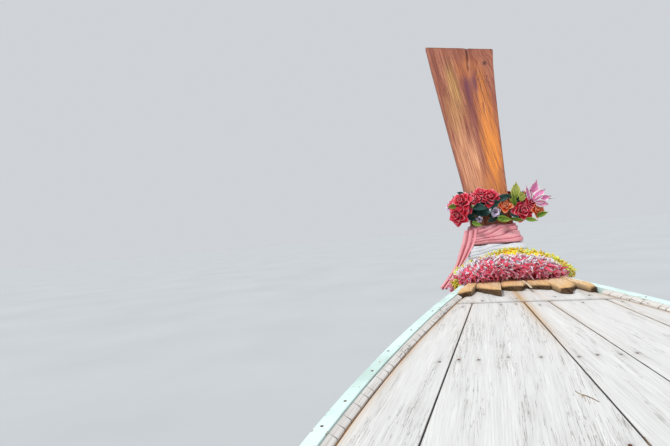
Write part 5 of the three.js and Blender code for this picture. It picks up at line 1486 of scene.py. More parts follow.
# Seams beside the bows, and the hem's double fold, are a thin darker line
def canopySeams(grid):
    x, z = grid[..., 0], grid[..., 2]
    line = sum(np.exp(-((np.abs(x - bow) - .021) / .002)**2) for bow in canopy["bowXs"][1:-1])
    hem = np.exp(-((z - (railZ - canopy["hemDrop"] + .04)) / .004)**2)
    ends = np.exp(-((canopy["foreX"] - x - .03) / .006)**2) + np.exp(-((x - canopy["aftX"] - .03) / .006)**2)
    return np.clip(.8 * line + .6 * hem + .6 * ends, 0, 1)


grid = canopyGrid()
piece = makePiece("CanopySheet", sheetShell(grid), canvasCloth, ["canopy"], {"fold": canopySeams(grid)},
                  sharp=0, thick=.003, outward=False)
print("canopy made")

# Frame timbers taken over from the CAD, with the grain of each laid along its length
for node, material in (("keel", keelPaint), ("ribs", athwartWood), ("deck_frame", athwartWood)):
    dressedCopy(node, material, .003)

# Transom: planks laid across inside the skin; a bell-shaped groove at each seam, and a nail at each plank's corners
transom = {"thick": .0397, "fit": .0003, "seams": [.07, .31, .53], "groove": .0028, "grooveHalf": .0032,
           "nailInset": .024, "nail": .0045}


def transomShell():
    t = np.linspace(0, 1, 44)
    fore, aft = transomX + transom["thick"], transomX + .0002
    heights = insetPoint(aft, t, plankEdge(t) + transom["fit"])[1]
    near = [np.interp(z + offset, heights, t) for z in transom["seams"]
            for offset in (-.006, -.003, -.0015, 0, .0015, .003, .006)]
    t = np.unique(np.concatenate([t, near]))
    s = np.linspace(-1, 1, 50)[None, :]
    faces = []
    for x in (aft, fore):
        y, z = (place[:, None] for place in insetPoint(x, t, plankEdge(t) + transom["fit"]))
        faces.append(np.stack([0 * s * y + x, s * y, 0 * s + z], -1))
    z, y = faces[0][..., 2], faces[0][..., 1]
    seam = sum(np.exp(-((z - at) / transom["grooveHalf"])**2) for at in transom["seams"])
    rim = np.abs(s)**60 + 0 * z
    faces[0][..., 0] += transom["groove"] * seam + .002 * rim + .0006 * (1 + ripple(y * 9, z * 40))
    shell = slabShell(raked(faces[0]), raked(faces[1]), y, z)
    weed = np.clip(1 - np.abs(z - .02) / .09, 0, 1)
    edge = np.exp(-(float(sheerTop(aft)) - z) / .012) + rim
    marks = {name: np.concatenate([value.ravel(), 0 * value.ravel()]) for name,
             value in (("seam", seam), ("weed", weed), ("edge", edge))}
    return shell, marks


shell, marks = transomShell()
makePiece("TransomPlanks", shell, whitePaint, ["transom"], marks, sharp=45, bevel=.0015)
places = []
for low, high in zip([-.1, *transom["seams"]], [*transom["seams"], float(sheerTop(transomX))]):
    for z in (low + .03, high - .03):
        edge = breadthAt(transomX, z, hull["sheerEdge"]) - transom["nailInset"]
        places += [[transomX + .0004, side * edge, z] for side in (1, -1)]
headRows = [[0, transom["nail"]], [.0034, transom["nail"]], [.0042, transom["nail"] * .7]]
makePiece("TransomNails", bored(raked(places) + [.003, 0, 0], [-1, 0, 0], headRows, 12), nailIron)

# Planks of the benches, the floor and the aft deck, with the nails that hold them; metres
inside = {"benchXs": [1.15, .13, -.89, -1.91], "benchHalf": .13, "benchTop": .336, "benchLow": .31, "benchGap": .005,
          "floorAft": -3.18, "floorFore": 2.25, "floorTop": -.06, "floorThick": .022,
          "battenXs": [-2.79, -1.17, .44, 1.45], "deckAft": -4.37, "deckFore": -3.3, "deckTop": .43, "deckThick": .026,
          "deckBoards": 9, "deckGap": .005, "deckBeams": [-3.45, -3.95], "ribInset": .083, "nail": .0055, "wear": .0022}


# A plank between two ends and two side lines: its top is worn down towards all four edges and rippled between
def plankShell(xs, sides, top, thick, seed, lengthways):
    steps = (int((xs[1] - xs[0]) / .06) + 12, 9) if lengthways else (9, 60)
    a, b = (np.linspace(0, 1, count) for count in steps)
    a, b = a[:, None], b[None, :]
    x = xs[0] + (xs[1] - xs[0]) * a + 0 * b
    low, high = sides(x[:, :1])
    y = low + (high - low) * b
    long, wide = (a, b) if lengthways else (b, a)
    across = np.abs(2 * wide - 1)**6
    tips = np.clip(np.abs(2 * long - 1) * 70 - 69, 0, 1)
    grainLong, grainWide = (x * 60, y * 9) if lengthways else (y * 60, x * 9)
    uneven = .0012 * ripple(x * 3, y * 3, seed) + .0006 * ripple(grainLong, grainWide, seed + 2)
    z = top - inside["wear"] * (across + tips) + uneven * (1 - across) - .0012
    u, v = (x, y) if lengthways else (y, x)
    upper, under = np.stack([x, y, z], -1), np.stack([x, y, 0 * z + top - thick], -1)
    return raisedBack(slabShell(upper, under, u + seed * 1.31 + 0 * v, v + seed * .53 + 0 * u))


# The rake of the stern, given to a finished shell
def raisedBack(shell):
    return {**shell, "points": raked(shell["points"])}


def widthInside(x, z, inset):
    return np.array([[breadthAt(place, z, inset)] for place in np.ravel(x)])


def flatNails(places, radius):
    return bored(np.array(places) - [0, 0, .004], [0, 0, 1], [[0, radius], [.0044, radius], [.0052, radius * .6]], 10)


heads = []
for number, x in enumerate(inside["benchXs"], 1):
    shells = []
    for half, side in ((0, -1), (1, 1)):
        gap = inside["benchGap"] / 2
        xs = (x - inside["benchHalf"], x - gap) if half == 0 else (x + gap, x + inside["benchHalf"])
        edge = breadthAt(x, inside["benchLow"], inside["ribInset"]) - .004
        shells.append(plankShell(xs, lambda at, edge=edge: (-edge + 0 * at, edge + 0 * at), inside["benchTop"],
                                 inside["benchTop"] - inside["benchLow"], number * 2.3 + half, False))
        heads += [[x + side * offset, way * (edge - .022), inside["benchTop"] - .0012] for offset in (.035, .1)
                  for way in (1, -1)]
    makePiece(f"BenchPlanks{number}", shells, benchWood, [f"bench_{number}"])

shells = []
floorEdge = lambda at: widthInside(at, inside["floorTop"] - inside["floorThick"], inside["ribInset"]) - .003
for k in range(-2, 3):
    lines = lambda at, k=k: ((k - .5) * floorEdge(at) / 2.5 + .003, (k + .5) * floorEdge(at) / 2.5 - .003)
    shells.append(plankShell((inside["floorAft"], inside["floorFore"]), lines, inside["floorTop"], inside["floorThick"],
                             k * 1.9 + 7, True))
for x in inside["battenXs"]:
    edge = .8 * float(floorEdge([x])[0, 0])
    shells.append(blockShell([x - .03, -edge, -.102], [x + .03, edge, -.0785], .003, .003, 1))
    heads += [[x + step, (k + side) * edge / 2, inside["floorTop"] - .0012] for k in (-2, -1, 0, 1, 2)
              for side in (-.16, .16) for step in (-.014, .014)]
makePiece("FloorBoards", shells, soleWood, ["floor_boards"])

shells = []
deckSide = lambda at: widthInside(at, inside["deckTop"] - .03, inside["ribInset"]) - .004
for k in range(inside["deckBoards"]):
    share = (k / inside["deckBoards"] * 2 - 1, (k + 1) / inside["deckBoards"] * 2 - 1)
    lines = lambda at, share=share: (share[0] * deckSide(at) + inside["deckGap"] / 2,
                                     share[1] * deckSide(at) - inside["deckGap"] / 2)
    shells.append(plankShell((inside["deckAft"], inside["deckFore"]), lines, inside["deckTop"], inside["deckThick"],
                             k * 1.3 + 20, True))
for x in inside["deckBeams"]:
    edge = float(deckSide([x])[0, 0]) - .025
    shells.append(raisedBack(blockShell([x - .03, -edge, .3105], [x + .03, edge, .4045], .004, .003, 1)))
    heads += [raked([x + step, (k + .5 + side) / inside["deckBoards"] * 2 * edge - edge, inside["deckTop"] - .0012])
              for k in range(inside["deckBoards"]) for side in (-.25, .25) for step in (-.015, .015)]
makePiece("AftDeckPlanks", shells, soleWood, ["aft_deck"])
makePiece("InsideNails", flatNails(heads, inside["nail"]), nailIron)
print("inside made:", len(heads), "nails")
# The canopy's frame: tubes bent to shape, sleeves where they meet, bolted foot plates
tubes = {"postXs": [.95, -.75, -2.45], "post": .017, "rail": .016, "bow": .014, "footLift": .005, "inboard": .043,
         "plateLength": .045, "plate": [-.03, .032], "sleeve": .0215, "lashStep": .235, "rope": .0028, "eyelet": .0075}


def postLine(x, side):
    foot = float(sheerTop(x)) + tubes["footLift"]
    y = side * (float(halfBreadth(x)) - tubes["inboard"])
    return curveThrough([[x, y, foot], [x, y, foot + .06], [x, side * railY, railZ - .06],
                         [x, side * railY, railZ]], 36)


def bowLine(x):
    y = np.linspace(-railY, railY, 48)
    return np.stack([x + 0 * y, y, railZ + canopy["rise"] * (1 - (y / railY)**2)], -1)


shells, welds, bolts, ropes, rings = [], [], [], [], []
post, rail, sleeve = tubes["post"], tubes["rail"], tubes["sleeve"]
for side in (1, -1):
    ends = [[tubes["postXs"][0] + .13, side * railY, railZ], [tubes["postXs"][-1] - .13, side * railY, railZ]]
    shells.append(roundBar(np.linspace(*ends, 40), rail))
    for x in tubes["postXs"]:
        line = postLine(x, side)
        shells.append(roundBar(line, post))
        y, foot = line[0, 1], line[0, 2]
        low, high = sorted([y + side * tubes["plate"][0], y + side * tubes["plate"][1]])
        shells.append(blockShell([x - tubes["plateLength"], low, foot - .0047],
                                 [x + tubes["plateLength"], high, foot + .004], .003, .001))
        welds.append(weldShell(circleOf([x, y, foot + .005], post + .001, 25, axis=2), .0035))
        bolts.append(boltShell([[x + step, y + side * .001, foot + .004] for step in (-.033, .033)], [0, 0, 1], .013))
        shells.append(turned([x - .035, side * railY, railZ], [x + 1, side * railY, railZ],
                             [[0, rail], [.001, sleeve - .001], [.069, sleeve - .001], [.07, rail]], 20))
        shells.append(turned(line[-1] - np.array([0, 0, .055]), line[-1], [[0, post], [.001, sleeve], [.04, sleeve]],
                             20))
        bolts.append(boltShell([[x + step, side * (railY - sleeve), railZ] for step in (-.022, .022)], [0, -side, 0],
                               .01))
    for x in canopy["bowXs"]:
        shells.append(turned([x - .024, side * railY, railZ], [x + 1, side * railY, railZ],
                             [[0, rail], [.001, sleeve - .002], [.047, sleeve - .002], [.048, rail]], 20))
    for x in np.arange(canopy["foreX"] - .09, canopy["aftX"], -tubes["lashStep"]):
        cosine, sine = circle(28)
        middle = np.array([x, side * (railY + .004), railZ - .036])
        loop = np.stack([.01 * sine, side * (.0225 - .004 * cosine) * sine, .0605 * cosine], -1)
        ropes.append(roundBar(middle + loop, tubes["rope"], 8, closed=True))
        hole = circleOf([x, side * (canopy["reach"] + .003), railZ - .078], tubes["eyelet"], 20, axis=1)
        rings.append(roundBar(hole, .0022, 8, closed=True, up=(0, 1, 0)))
shells += [roundBar(bowLine(x), tubes["bow"], 14) for x in canopy["bowXs"]]
makePiece("CanopyTubes", shells, galvanised, ["canopy_frame"])
makePiece("CanopyBolts", bolts + rings, darkSteel)
makePiece("CanopyWelds", welds, darkSteel, sharp=50)
makePiece("CanopyLashings", ropes, whiteCloth, sharp=0)
x = np.linspace(canopy["foreX"] - .004, canopy["aftX"] + .004, 160)
y, z = canopy["reach"] + .003 + .005 * ripple(x * 7, seed=2), 0 * x + railZ - canopy["hemDrop"] + .003
piping = [roundBar(np.stack([x, side * y, z], -1), .0032, 10) for side in (1, -1)]
makePiece("CanopyHemCord", piping, whiteCloth, sharp=0)
print("canopy frame made")
# Stern gear. The tail gear's own frame has x along the shaft line and its origin on the tilt axis
gear = {"pivot": [-4.15, 0, 1.2], "slope": 17.5, "engineShift": .16, "postPlateTop": .8123, "baseTop": 1.072,
        "crank": .22}
tailPlace = Matrix.Translation(gear["pivot"]) @ Matrix.Rotation(-np.radians(gear["slope"]), 4, "Y")
enginePlace = tailPlace @ Matrix.Translation((gear["engineShift"], 0, 0))


# Several shells made one piece in the tail gear's or the engine's own frame
def tailPiece(name, shells, material, place=tailPlace, body="tail", **settings):
    shell = joined(shells)
    shell["points"] = shell["points"] @ np.array(place)[:3, :3].T + np.array(place)[:3, 3]
    makePiece(name, shell, material, body=body, **settings)


# Engine beam: a squared timber with iron straps; its grain runs across the boat
dressedCopy("engine_beam", athwartWood, .007)
px = gear["pivot"][0]
straps = [blockShell([px - .0725, side * .56 - .02, .79], [px + .0725, side * .56 + .02, .8035], .002, .001, 1)
          for side in (1, -1)]
straps += [blockShell([px + way * .0715 - .0015, side * .56 - .02, .69],
                      [px + way * .0715 + .0015, side * .56 + .02, .8025], .0008, .0005, 1) for side in (1, -1)
           for way in (1, -1)]
makePiece("BeamStraps", straps, darkSteel)

# Swivel post: the plate is bolted through the beam, the webs are welded to the barrel
dressedCopy("swivel_post", darkSteel, .0012)
barrel, plateTop = .0425, gear["postPlateTop"]
beads = [weldShell(circleOf([px, 0, plateTop], barrel, 49, axis=2), .004)]
for turn in range(4):
    ahead = np.array([np.cos(turn * np.pi / 2), np.sin(turn * np.pi / 2), 0])
    beside = np.array([-ahead[1], ahead[0], 0])
    reach = .057 if turn % 2 == 0 else .094
    for side in (1, -1):
        off = np.array([px, 0, 0]) + beside * side * .0055
        beads.append(weldShell([off + ahead * barrel + [0, 0, .868], off + ahead * barrel + [0, 0, plateTop + .001]],
                               .003))
        beads.append(weldShell([off + ahead * barrel + [0, 0, plateTop], off + ahead * reach + [0, 0, plateTop]], .003))
makePiece("SwivelWelds", beads, castIron, sharp=60)
fixings = [boltShell([[px + a * .048, b * .086, plateTop] for a in (1, -1) for b in (1, -1)], [0, 0, 1], .021),
           boltShell([[px + a * .055, side * .56, .8035] for a in (1, -1) for side in (1, -1)], [0, 0, 1], .016),
           boltShell([[px + .073, side * .56, .72] for side in (1, -1)], [1, 0, 0], .016),
           turned([px, -barrel, .975], [px, -1, .975], [[-.002, .007], [.004, .007], [.0045, .0035], [.011, .0035],
                                                        [.0125, .0048], [.016, .003]], 12),
           turned([px, barrel, .865], [px, 1, .865], [[-.002, .011], [.009, .011], [.0095, .006], [.02, .006]], 6)]
makePiece("SwivelBolts", fixings, galvanised)

# Yoke: folded plate ears on a welded base, turning on the barrel
dressedCopy("yoke", darkSteel, .0012, "swivel")
baseTop = gear["baseTop"]
beads = [weldShell([[px + .042, side * .0965, baseTop], [px - .042, side * .0965, baseTop]], .0035) for side in (1, -1)]
beads += [weldShell([[px + way * .0425, side * .0975, baseTop], [px + way * .0425, side * .111, baseTop]], .003)
          for side in (1, -1) for way in (1, -1)]
beads.append(weldShell(circleOf([px, 0, 1.0525], .0595, 49, axis=2), .0026))
makePiece("YokeWelds", beads, castIron, body="swivel", sharp=60)
makePiece("YokeCap", [turned([px, 0, baseTop], [px, 0, 2], [[-.001, .034], [.004, .034], [.006, .032]], 32),
                      boltShell([[px, 0, baseTop + .005]], [0, 0, 1], .024)], galvanised, body="swivel")

# Cradle: two square tubes with cross members, the trunnion between them, and rubber feet under the engine
cradle = {"half": .145, "tube": .022, "aft": -.26, "fore": .59, "cross": .05, "feet": [-.09, .39], "footLength": .04}
side2, half, aft, cradleFore, cross = (cradle[name] for name in ("tube", "half", "aft", "fore", "cross"))
steel = [blockShell([aft, side * half - side2, -side2], [cradleFore, side * half + side2, side2], .006, .002)
         for side in (1, -1)]
inner = half - side2
for a, b in ((aft, aft + cross), (cradleFore - cross, cradleFore)):
    steel.append(blockShell([a + .0005, -inner - .001, -side2 + .0005], [b - .0005, inner + .001, side2 - .0005], .006,
                            .002, 1))
steel.append(turned([0, -inner - .001, 0], [0, 1, 0], [[0, .018], [2 * inner + .002, .018]], 40))
steel += [turned([0, side * (inner + .001), 0], [0, 0, 0], [[0, .031], [.0035, .031], [.0045, .029]], 40)
          for side in (1, -1)]
beads, rubber, fixings = [], [], []
for side in (1, -1):
    for a, b in ((aft, aft + cross), (cradleFore - cross, cradleFore)):
        for z in (side2 - .001, -side2 + .001):
            beads.append(weldShell([[a + .004, side * inner, z], [b - .004, side * inner, z]], .0032))
    beads.append(weldShell(circleOf([0, side * (inner - .0005), 0], .0305, 41, axis=1), .0024))
    for x in cradle["feet"]:
        low, high = side * half - .02, side * half + .02
        steel.append(blockShell([x, low, side2 - .001], [x + cradle["footLength"], high, side2 + .006], .003, .001, 2))
        rubber.append(turned([x + .02, side * half, side2 + .005], [x + .02, side * half, 1],
                             [[0, .0185], [.004, .0192], [.02, .0172], [.035, .0192], [.038, .0185]], 28))
        steel.append(blockShell([x, low, side2 + .042], [x + cradle["footLength"], high, .095], .004, .0015, 2))
        fixings.append(boltShell([[x + .02, side * (half + .02), .082]], [0, side, 0], .011))
        fixings.append(boltShell([[x + .02, side * half, -side2]], [0, 0, -1], .016))
tailPiece("CradleFrame", steel, darkSteel, nodes=["engine_cradle"])
tailPiece("CradleWelds", beads, castIron, sharp=60)
tailPiece("CradleRubbers", rubber, hoseRubber)
tailPiece("CradleBolts", fixings, galvanised)
print("stern gear made")
# Engine: a four-cylinder marine diesel in grey enamel. Metres in its own frame, x = 0 at its middle
engine = {"cylinders": [-.18, -.06, .06, .18], "blockHalf": .11, "headHalf": .095, "crankHalf": .163, "low": .0953,
          "crankTop": .185, "blockTop": .4, "headTop": .48, "fore": .27, "pump": [0, .38, .062],
          "alternator": [.15, .33, .033], "pulley": .08, "beltX": .3005, "beltHalf": .006,
          "ribs": [-.21, -.105, 0, .105, .21]}


fore, blockHalf, headHalf, crankHalf = (engine[name] for name in ("fore", "blockHalf", "headHalf", "crankHalf"))
low, crankTop, blockTop, headTop = (engine[name] for name in ("low", "crankTop", "blockTop", "headTop"))
cylinders, crank = engine["cylinders"], gear["crank"]
castings = [blockShell([-.2, -.095, .07], [.22, .095, .17], .02, .012, 2),
            blockShell([-.262, -.132, .1], [.262, .132, .112], .01, .003, 2),
            blockShell([-fore, -crankHalf + .02, low], [fore, crankHalf - .02, crankTop], .014, .005),
            blockShell([-fore + .002, -blockHalf + .006, .16], [fore - .002, blockHalf - .006, blockTop - .003], .012,
                       .004, 2), blockShell([-.262, -headHalf, blockTop + .002], [.262, headHalf, headTop], .009, .004,
                                            2), blockShell([-.24, -.062, .478], [.24, .062, .494], .016, .002, 2),
            blockShell([-.234, -.055, .49], [.234, .055, .531], .022, .016, 2, 7),
            blockShell([-fore, -blockHalf, .37], [fore, blockHalf, blockTop - .001], .012, .003, 2)]
castings += [blockShell([x - .006, -crankHalf, low], [x + .006, crankHalf, crankTop - .006], .003, .002, 2)
             for x in engine["ribs"]]
castings += [blockShell([a, side * (crankHalf - .023) - .023, low], [b, side * (crankHalf - .023) + .023, .112], .006,
                        .002, 2) for a, b in ((-fore, -.2), (.2, fore)) for side in (1, -1)]
castings += [shell for side in (1, -1) for shell in bored([[x, side * .085, .29] for x in cylinders], (0, side, 0),
                                                         [[0, .05], [.021, .05], [.0245, .045]], 32)]
castings += [blockShell([-.226, -.01 + y, .53], [.226, .01 + y, .5345], .004, .002, 2) for y in (-.03, 0, .03)]
castings += bored([[fore - .004, 0, crank]], (1, 0, 0), [[0, .108], [.008, .108], [.011, .104], [.011, .07],
                                                         [.014, .066]], 48)
castings.append(blockShell([fore - .004, -.075, .19], [fore + .006, .075, .43], .03, .003, 0, 6))
castings += bored([[-.266, 0, crank]], (-1, 0, 0), [[0, .15], [.02, .15], [.022, .143], [.05, .14], [.09, .122],
                                                    [.118, .1], [.12, .112], [.134, .112]], 56)
castings += [blockShell([x, -.19, .39], [x + .018, -.092, .45], .02, .003, 1, 6) for x in (-.12, -.04, .052, .132)]
castings.append(blockShell([-.12, -.19, .394], [.15, -.128, .446], .018, .006, 0, 6))
castings.append(blockShell([.12, -.158, .212], [.25, -.106, .292], .01, .004))
castings += bored([[x, -.132, .288] for x in (.14, .17, .2, .23)], (0, 0, 1),
                  [[0, .011], [.018, .011], [.02, .007], [.03, .007]], 12)
castings += bored([[fore - .01, 0, .45]], (1, 0, 0), [[0, .034], [.02, .034], [.024, .03], [.044, .026], [.046, .029],
                                                      [.056, .029]], 28)
tailPiece("EngineCastings", castings, enginePaint, enginePlace, nodes=["engine"], sharp=32)

gaskets = [blockShell([-.2635, -.0965, blockTop - .002], [.2635, .0965, blockTop + .003], .009, .0006, 2),
           blockShell([-.241, -.063, .4785], [.241, .063, .4815], .016, .0006, 2),
           blockShell([-.2635, -.1335, .1125], [.2635, .1335, .1145], .01, .0005, 2)]
tailPiece("EngineGaskets", gaskets, hoseRubber, enginePlace)

# The V belt follows the outline of its pulleys: in each direction, the furthest point of any pulley
pulleys = np.array([[0, crank, engine["pulley"]], [*engine["pump"][:2], engine["pump"][2] - .004],
                    engine["alternator"]])
out = np.stack(circle(240), -1)
pick = np.argmax(out @ pulleys[:, :2].T + pulleys[:, 2], axis=1)
line = pulleys[pick, :2] + (pulleys[pick, 2:] - .002) * out
belt = np.stack([np.insert(line + out * r, 0, engine["beltX"] + s * engine["beltHalf"] * (.7 if r < 0 else 1), 1)
                 for s, r in ((-1, -.006), (1, -.006), (1, .002), (-1, .002))], 1)
tailPiece("EngineBelt", [sweep(belt, closed=True)], hoseRubber, enginePlace)


# A V pulley: two flanges with a groove between, a dished web and a hub
def pulleyRows(radius):
    g = engine["beltX"] - fore
    rim = [[.012, -.012], [.011, .001], [.0075, .001], [.004, -.008]]
    return [[g - d, radius + r] for d, r in rim] + [[g + d, radius + r] for d, r in rim[::-1]] + [
        [g + .004, radius * .72], [g + .003, radius * .4], [g + .012, radius * .34], [g + .013, radius * .16]]


turnedParts = []
for y, z, radius in pulleys:
    turnedParts += bored([[fore, y, z]], (1, 0, 0), pulleyRows(radius), 48)
    turnedParts += bored([[fore - .008, y, z]], (1, 0, 0), [[0, radius * .3], [.03, radius * .3]], 24)
y, z = engine["alternator"][:2]
turnedParts += bored([[.095, y, z]], (1, 0, 0), [[0, .05], [.004, .056], [.03, .0565], [.033, .06], [.045, .0605],
                                                 [.048, .057], [.09, .057], [.093, .0605], [.105, .06], [.108, .0565],
                                                 [.15, .055], [.162, .04], [.166, .02]], 36)
turnedParts += [blockShell([.14, .1, z - .012], [.175, y - .02, z + .012], .004, .002, 1),
                blockShell([.24, .08, z - .05], [.252, y, z - .036], .004, .002, 1)]
turnedParts += bored([[-.27, -.152, .245]], (1, 0, 0), [[0, .03], [.004, .038], [.05, .039], [.053, .042], [.15, .042],
                                                        [.153, .036], [.17, .034], [.174, .02]], 32)
turnedParts += bored([[-.25, -.142, .303]], (1, 0, 0), [[0, .014], [.003, .018], [.09, .018], [.094, .012]], 20)
tailPiece("EngineTurnedParts", turnedParts, galvanised, enginePlace, sharp=32)

# Air filter: a pan, its wall and a lid held by a nut; and a spin-on oil filter
black = bored([[.02, -.15, .446]], (0, 0, 1), [[0, .03], [.008, .03]], 24)
black += bored([[.04, -.104, .235]], (0, -1, 0), [[0, .03], [.002, .0375], [.07, .0375], [.078, .034], [.079, .02]], 32)
black += bored([[.02, -.15, 0]], (0, 0, 1), [[.452, .078], [.453, .0845], [.462, .085], [.464, .078], [.502, .078],
                                             [.504, .085], [.513, .085], [.518, .08], [.5195, .03]], 48)
tailPiece("EngineFilters", black, blackEnamel, enginePlace, sharp=32)

# Bolts and nuts on the castings, and the pipes from the pump to the injectors
studs = [boltShell([[x, side * .079, headTop] for x in (-.24, -.12, 0, .12, .24) for side in (1, -1)], [0, 0, 1], .015),
         boltShell([[x, 0, .5345] for x in (-.16, 0, .16)], [0, 0, 1], .014),
         boltShell([[x, side * .123, .1145] for x in np.linspace(-.24, .24, 9) for side in (1, -1)], [0, 0, 1], .009),
         boltShell(circleOf([-.286, 0, crank], .132, 8, start=.4), [-1, 0, 0], .012),
         boltShell([[fore + .006, y, z] for y in (-.062, .062) for z in (.3, .345)]
                   + [[fore + .006, y, .415] for y in (-.055, .055)], [1, 0, 0], .011),
         boltShell([[x, -.19, z] for x in (-.111, -.031, .061, .141) for z in (.405, .435)], [0, -1, 0], .009),
         boltShell([[x, side * blockHalf, .386] for x in (-.17, .17) for side in (1, -1)], [0, 1, 0], .01)]
studs += bored([[.02, -.15, .519]], (0, 0, 1), [[0, .01], [.004, .01], [.005, .006], [.016, .006], [.018, .004]], 16)
studs += bored([[-.12, 0, .53]], (0, 0, 1), [[0, .022], [.006, .022], [.008, .027], [.02, .027], [.023, .024]], 12)
for number, x in enumerate(cylinders):
    studs += bored([[x, -.078, .476]], (0, 0, 1), [[0, .011], [.006, .011], [.007, .008], [.026, .008], [.027, .0095],
                                                   [.034, .0095], [.036, .005]], 16)
    start = [.14 + .03 * number, -.132, .316]
    path = curveThrough([start, [start[0], -.134, .345], [start[0] * .6 + x * .4, -.176 + .006 * number,
                                                          .368 + .004 * number], [x + .012, -.201 + .008 * number, .42],
                         [x + .004, -.17 + .006 * number, .494], [x, -.115, .52], [x, -.078, .515]], 70)
    studs.append(roundBar(path, .0034, 10))
for x in (-.235, .235):
    studs.append(roundBar(circleOf([x, .078, .503], .018, 32), .0045, 10, closed=True, up=(1, 0, 0)))
dip = curveThrough([[-.2, .12, .16], [-.2, .13, .24], [-.205, .14, .32], [-.21, .141, .37]], 30)
eye = circleOf([-.21, .141, .384], .013, 32, axis=1)[:, [2, 1, 0]] - [.594, 0, -.594]
studs += [roundBar(dip, .005, 10), roundBar(eye, .0022, 8, closed=True, up=(0, 1, 0))]
tailPiece("EngineFastenings", studs, galvanised, enginePlace, sharp=32)

# Cooling hose from the pump's elbow round to the thermostat housing, with a clip at each end
hose = curveThrough([[fore + .045, 0, .45], [fore + .058, -.012, .452], [fore + .06, -.05, .45],
                     [fore + .04, -.088, .43], [fore - .01, -.104, .4], [fore - .05, -.112, .36],
                     [fore - .06, -.112, .33]], 60)
clips = [turned(hose[k], hose[k + 3], [[0, .0165], [.001, .0178], [.008, .0178], [.009, .0165]], 24) for k in (9, 50)]
tailPiece("EngineHose", [roundBar(hose, .0155, 18)], hoseRubber, enginePlace, sharp=40)
tailPiece("EngineClips", clips, galvanised, enginePlace, sharp=32)

# Exhaust: a cast manifold on four ports, a bent pipe, a silencer with rolled seams and a hollow tip
manifold = [blockShell([-.2, .118, .41], [.21, .165, .452], .016, .008, 0, 6)]
manifold += [blockShell([x - .03, .0957, .405], [x + .03, .104, .455], .008, .002, 1) for x in cylinders]
manifold += [blockShell([x - .02, .1, .412], [x + .02, .13, .45], .014, .003, 1) for x in cylinders]
manifold += [boltShell([[x + side * .024, .104, .43] for x in cylinders for side in (1, -1)], [0, 1, 0], .009)]
pipe = curveThrough([[-.17, .14, .43], [-.25, .15, .47], [-.33, .15, .56], [-.42, .15, .64]], 60)
axisA, axisB = np.array([-.39, .15, .61]), np.array([-.7, .15, .72])
length = np.linalg.norm(axisB - axisA)
ahead = unit(axisB - axisA)
silencer = [turned(axisA, axisB, [[-.006, .024], [0, .046], [.004, .0545], [.012, .055], [.014, .0535], [.02, .0535],
                                  [.022, .054], [length / 2 - .004, .054], [length / 2, .055],
                                  [length / 2 + .004, .054], [length - .022, .054], [length - .02, .0535],
                                  [length - .014, .0535], [length - .012, .055], [length - .004, .0545], [length, .046],
                                  [length + .003, .022]], 48)]
tipA = axisB - ahead * .012
tip = turned(tipA, tipA + ahead, [[0, .022], [.101, .022], [.1025, .0205], [.101, .0185], [.03, .018], [.029, .001]],
             32)
bands = [turned(axisA + ahead * at, axisB, [[0, .054], [.001, .0568], [.021, .0568], [.022, .054]], 48)
         for at in (.07, length - .09)]
weld = [weldShell(circleOf([0, 0, 0], .023, 33, axis=2) @ np.array(Vector(ahead).to_track_quat("Z", "Y").to_matrix()).T
                  + tipA + ahead * .015, .003)]
tailPiece("ExhaustManifold", manifold, castIron, enginePlace, nodes=["exhaust"], sharp=32)
tailPiece("ExhaustPipe", [roundBar(pipe, .024, 28), *silencer, tip], scaledSteel, enginePlace)
tailPiece("ExhaustBands", [*bands, *weld, turned(pipe[2], pipe[8], [[0, .024], [.001, .036], [.009, .036], [.01, .024]],
                                                 28)], darkSteel, enginePlace, sharp=32)
print("engine made")
# Tiller: a bent tube bolted to the cradle's fore end, a ribbed rubber grip and a throttle lever with its rod
tiller = {"start": .5903, "path": [[.599, 0, 0], [.76, 0, -.075], [.98, 0, -.2], [1.4, 0, -.38]], "radius": .019,
          "grip": [[1.285, 0, -.3338], [1.43, 0, -.391]], "gripRadius": .0255, "ribs": 17}
start = tiller["start"]
arm = curveThrough(tiller["path"], 90)
gripA, gripB = np.array(tiller["grip"])
gripLength = np.linalg.norm(gripB - gripA)
gripAhead = unit(gripB - gripA)
at = np.linspace(.004, gripLength - .006, 8 * tiller["ribs"])
wave = .5 - .5 * np.cos(at / (gripLength - .01) * tiller["ribs"] * 2 * np.pi)
rows = np.stack([at, tiller["gripRadius"] - .0016 * wave], -1)
grip = turned(gripA, gripB,
              np.concatenate([[[0, .0195], [.002, .0235]], rows, [[gripLength - .003, .0235], [gripLength, .018]]]), 32)
lift = np.cross(gripAhead, [0, 1, 0])
rodPath = arm[12:74] + [0, .0245, .004]
leverRoot = gripA - gripAhead * .03
lever = [roundBar(curveThrough([leverRoot + [0, .024, 0], leverRoot + [.012, .034, 0] + lift * .01,
                                leverRoot + gripAhead * .06 + [0, .044, 0] + lift * .012,
                                leverRoot + gripAhead * .12 + [0, .046, 0] + lift * .012], 36),
                  np.linspace(.006, .0045, 36), 12), turned(leverRoot + [0, .012, 0], leverRoot + [0, 1, 0],
                                                            [[0, .017], [.012, .017], [.014, .014]], 24),
         roundBar(rodPath, .0032, 10)]
clips = [turned(arm[k], arm[k + 2], [[0, .0195], [.0006, .0212], [.012, .0212], [.0126, .0195]], 28)
         for k in (16, 36, 56)]
clips += [blockShell(arm[k] + [-.002, .017, -.004], arm[k] + [.012, .029, .012], .003, .001) for k in (16, 36, 56)]
lugs = [blockShell([start + .01, side * .02 - .003, -.02], [start + .05, side * .02 + .003, .006], .002, .001)
        for side in (1, -1)]
flange = blockShell([start, -.06, -.022], [start + .012, .06, .022], .004, .0015)
tailPiece("TillerArm", [roundBar(arm, tiller["radius"], 28), flange, *lugs], darkSteel, nodes=["tiller"], sharp=32)
tailPiece("TillerGrip", [grip], hoseRubber, sharp=40)
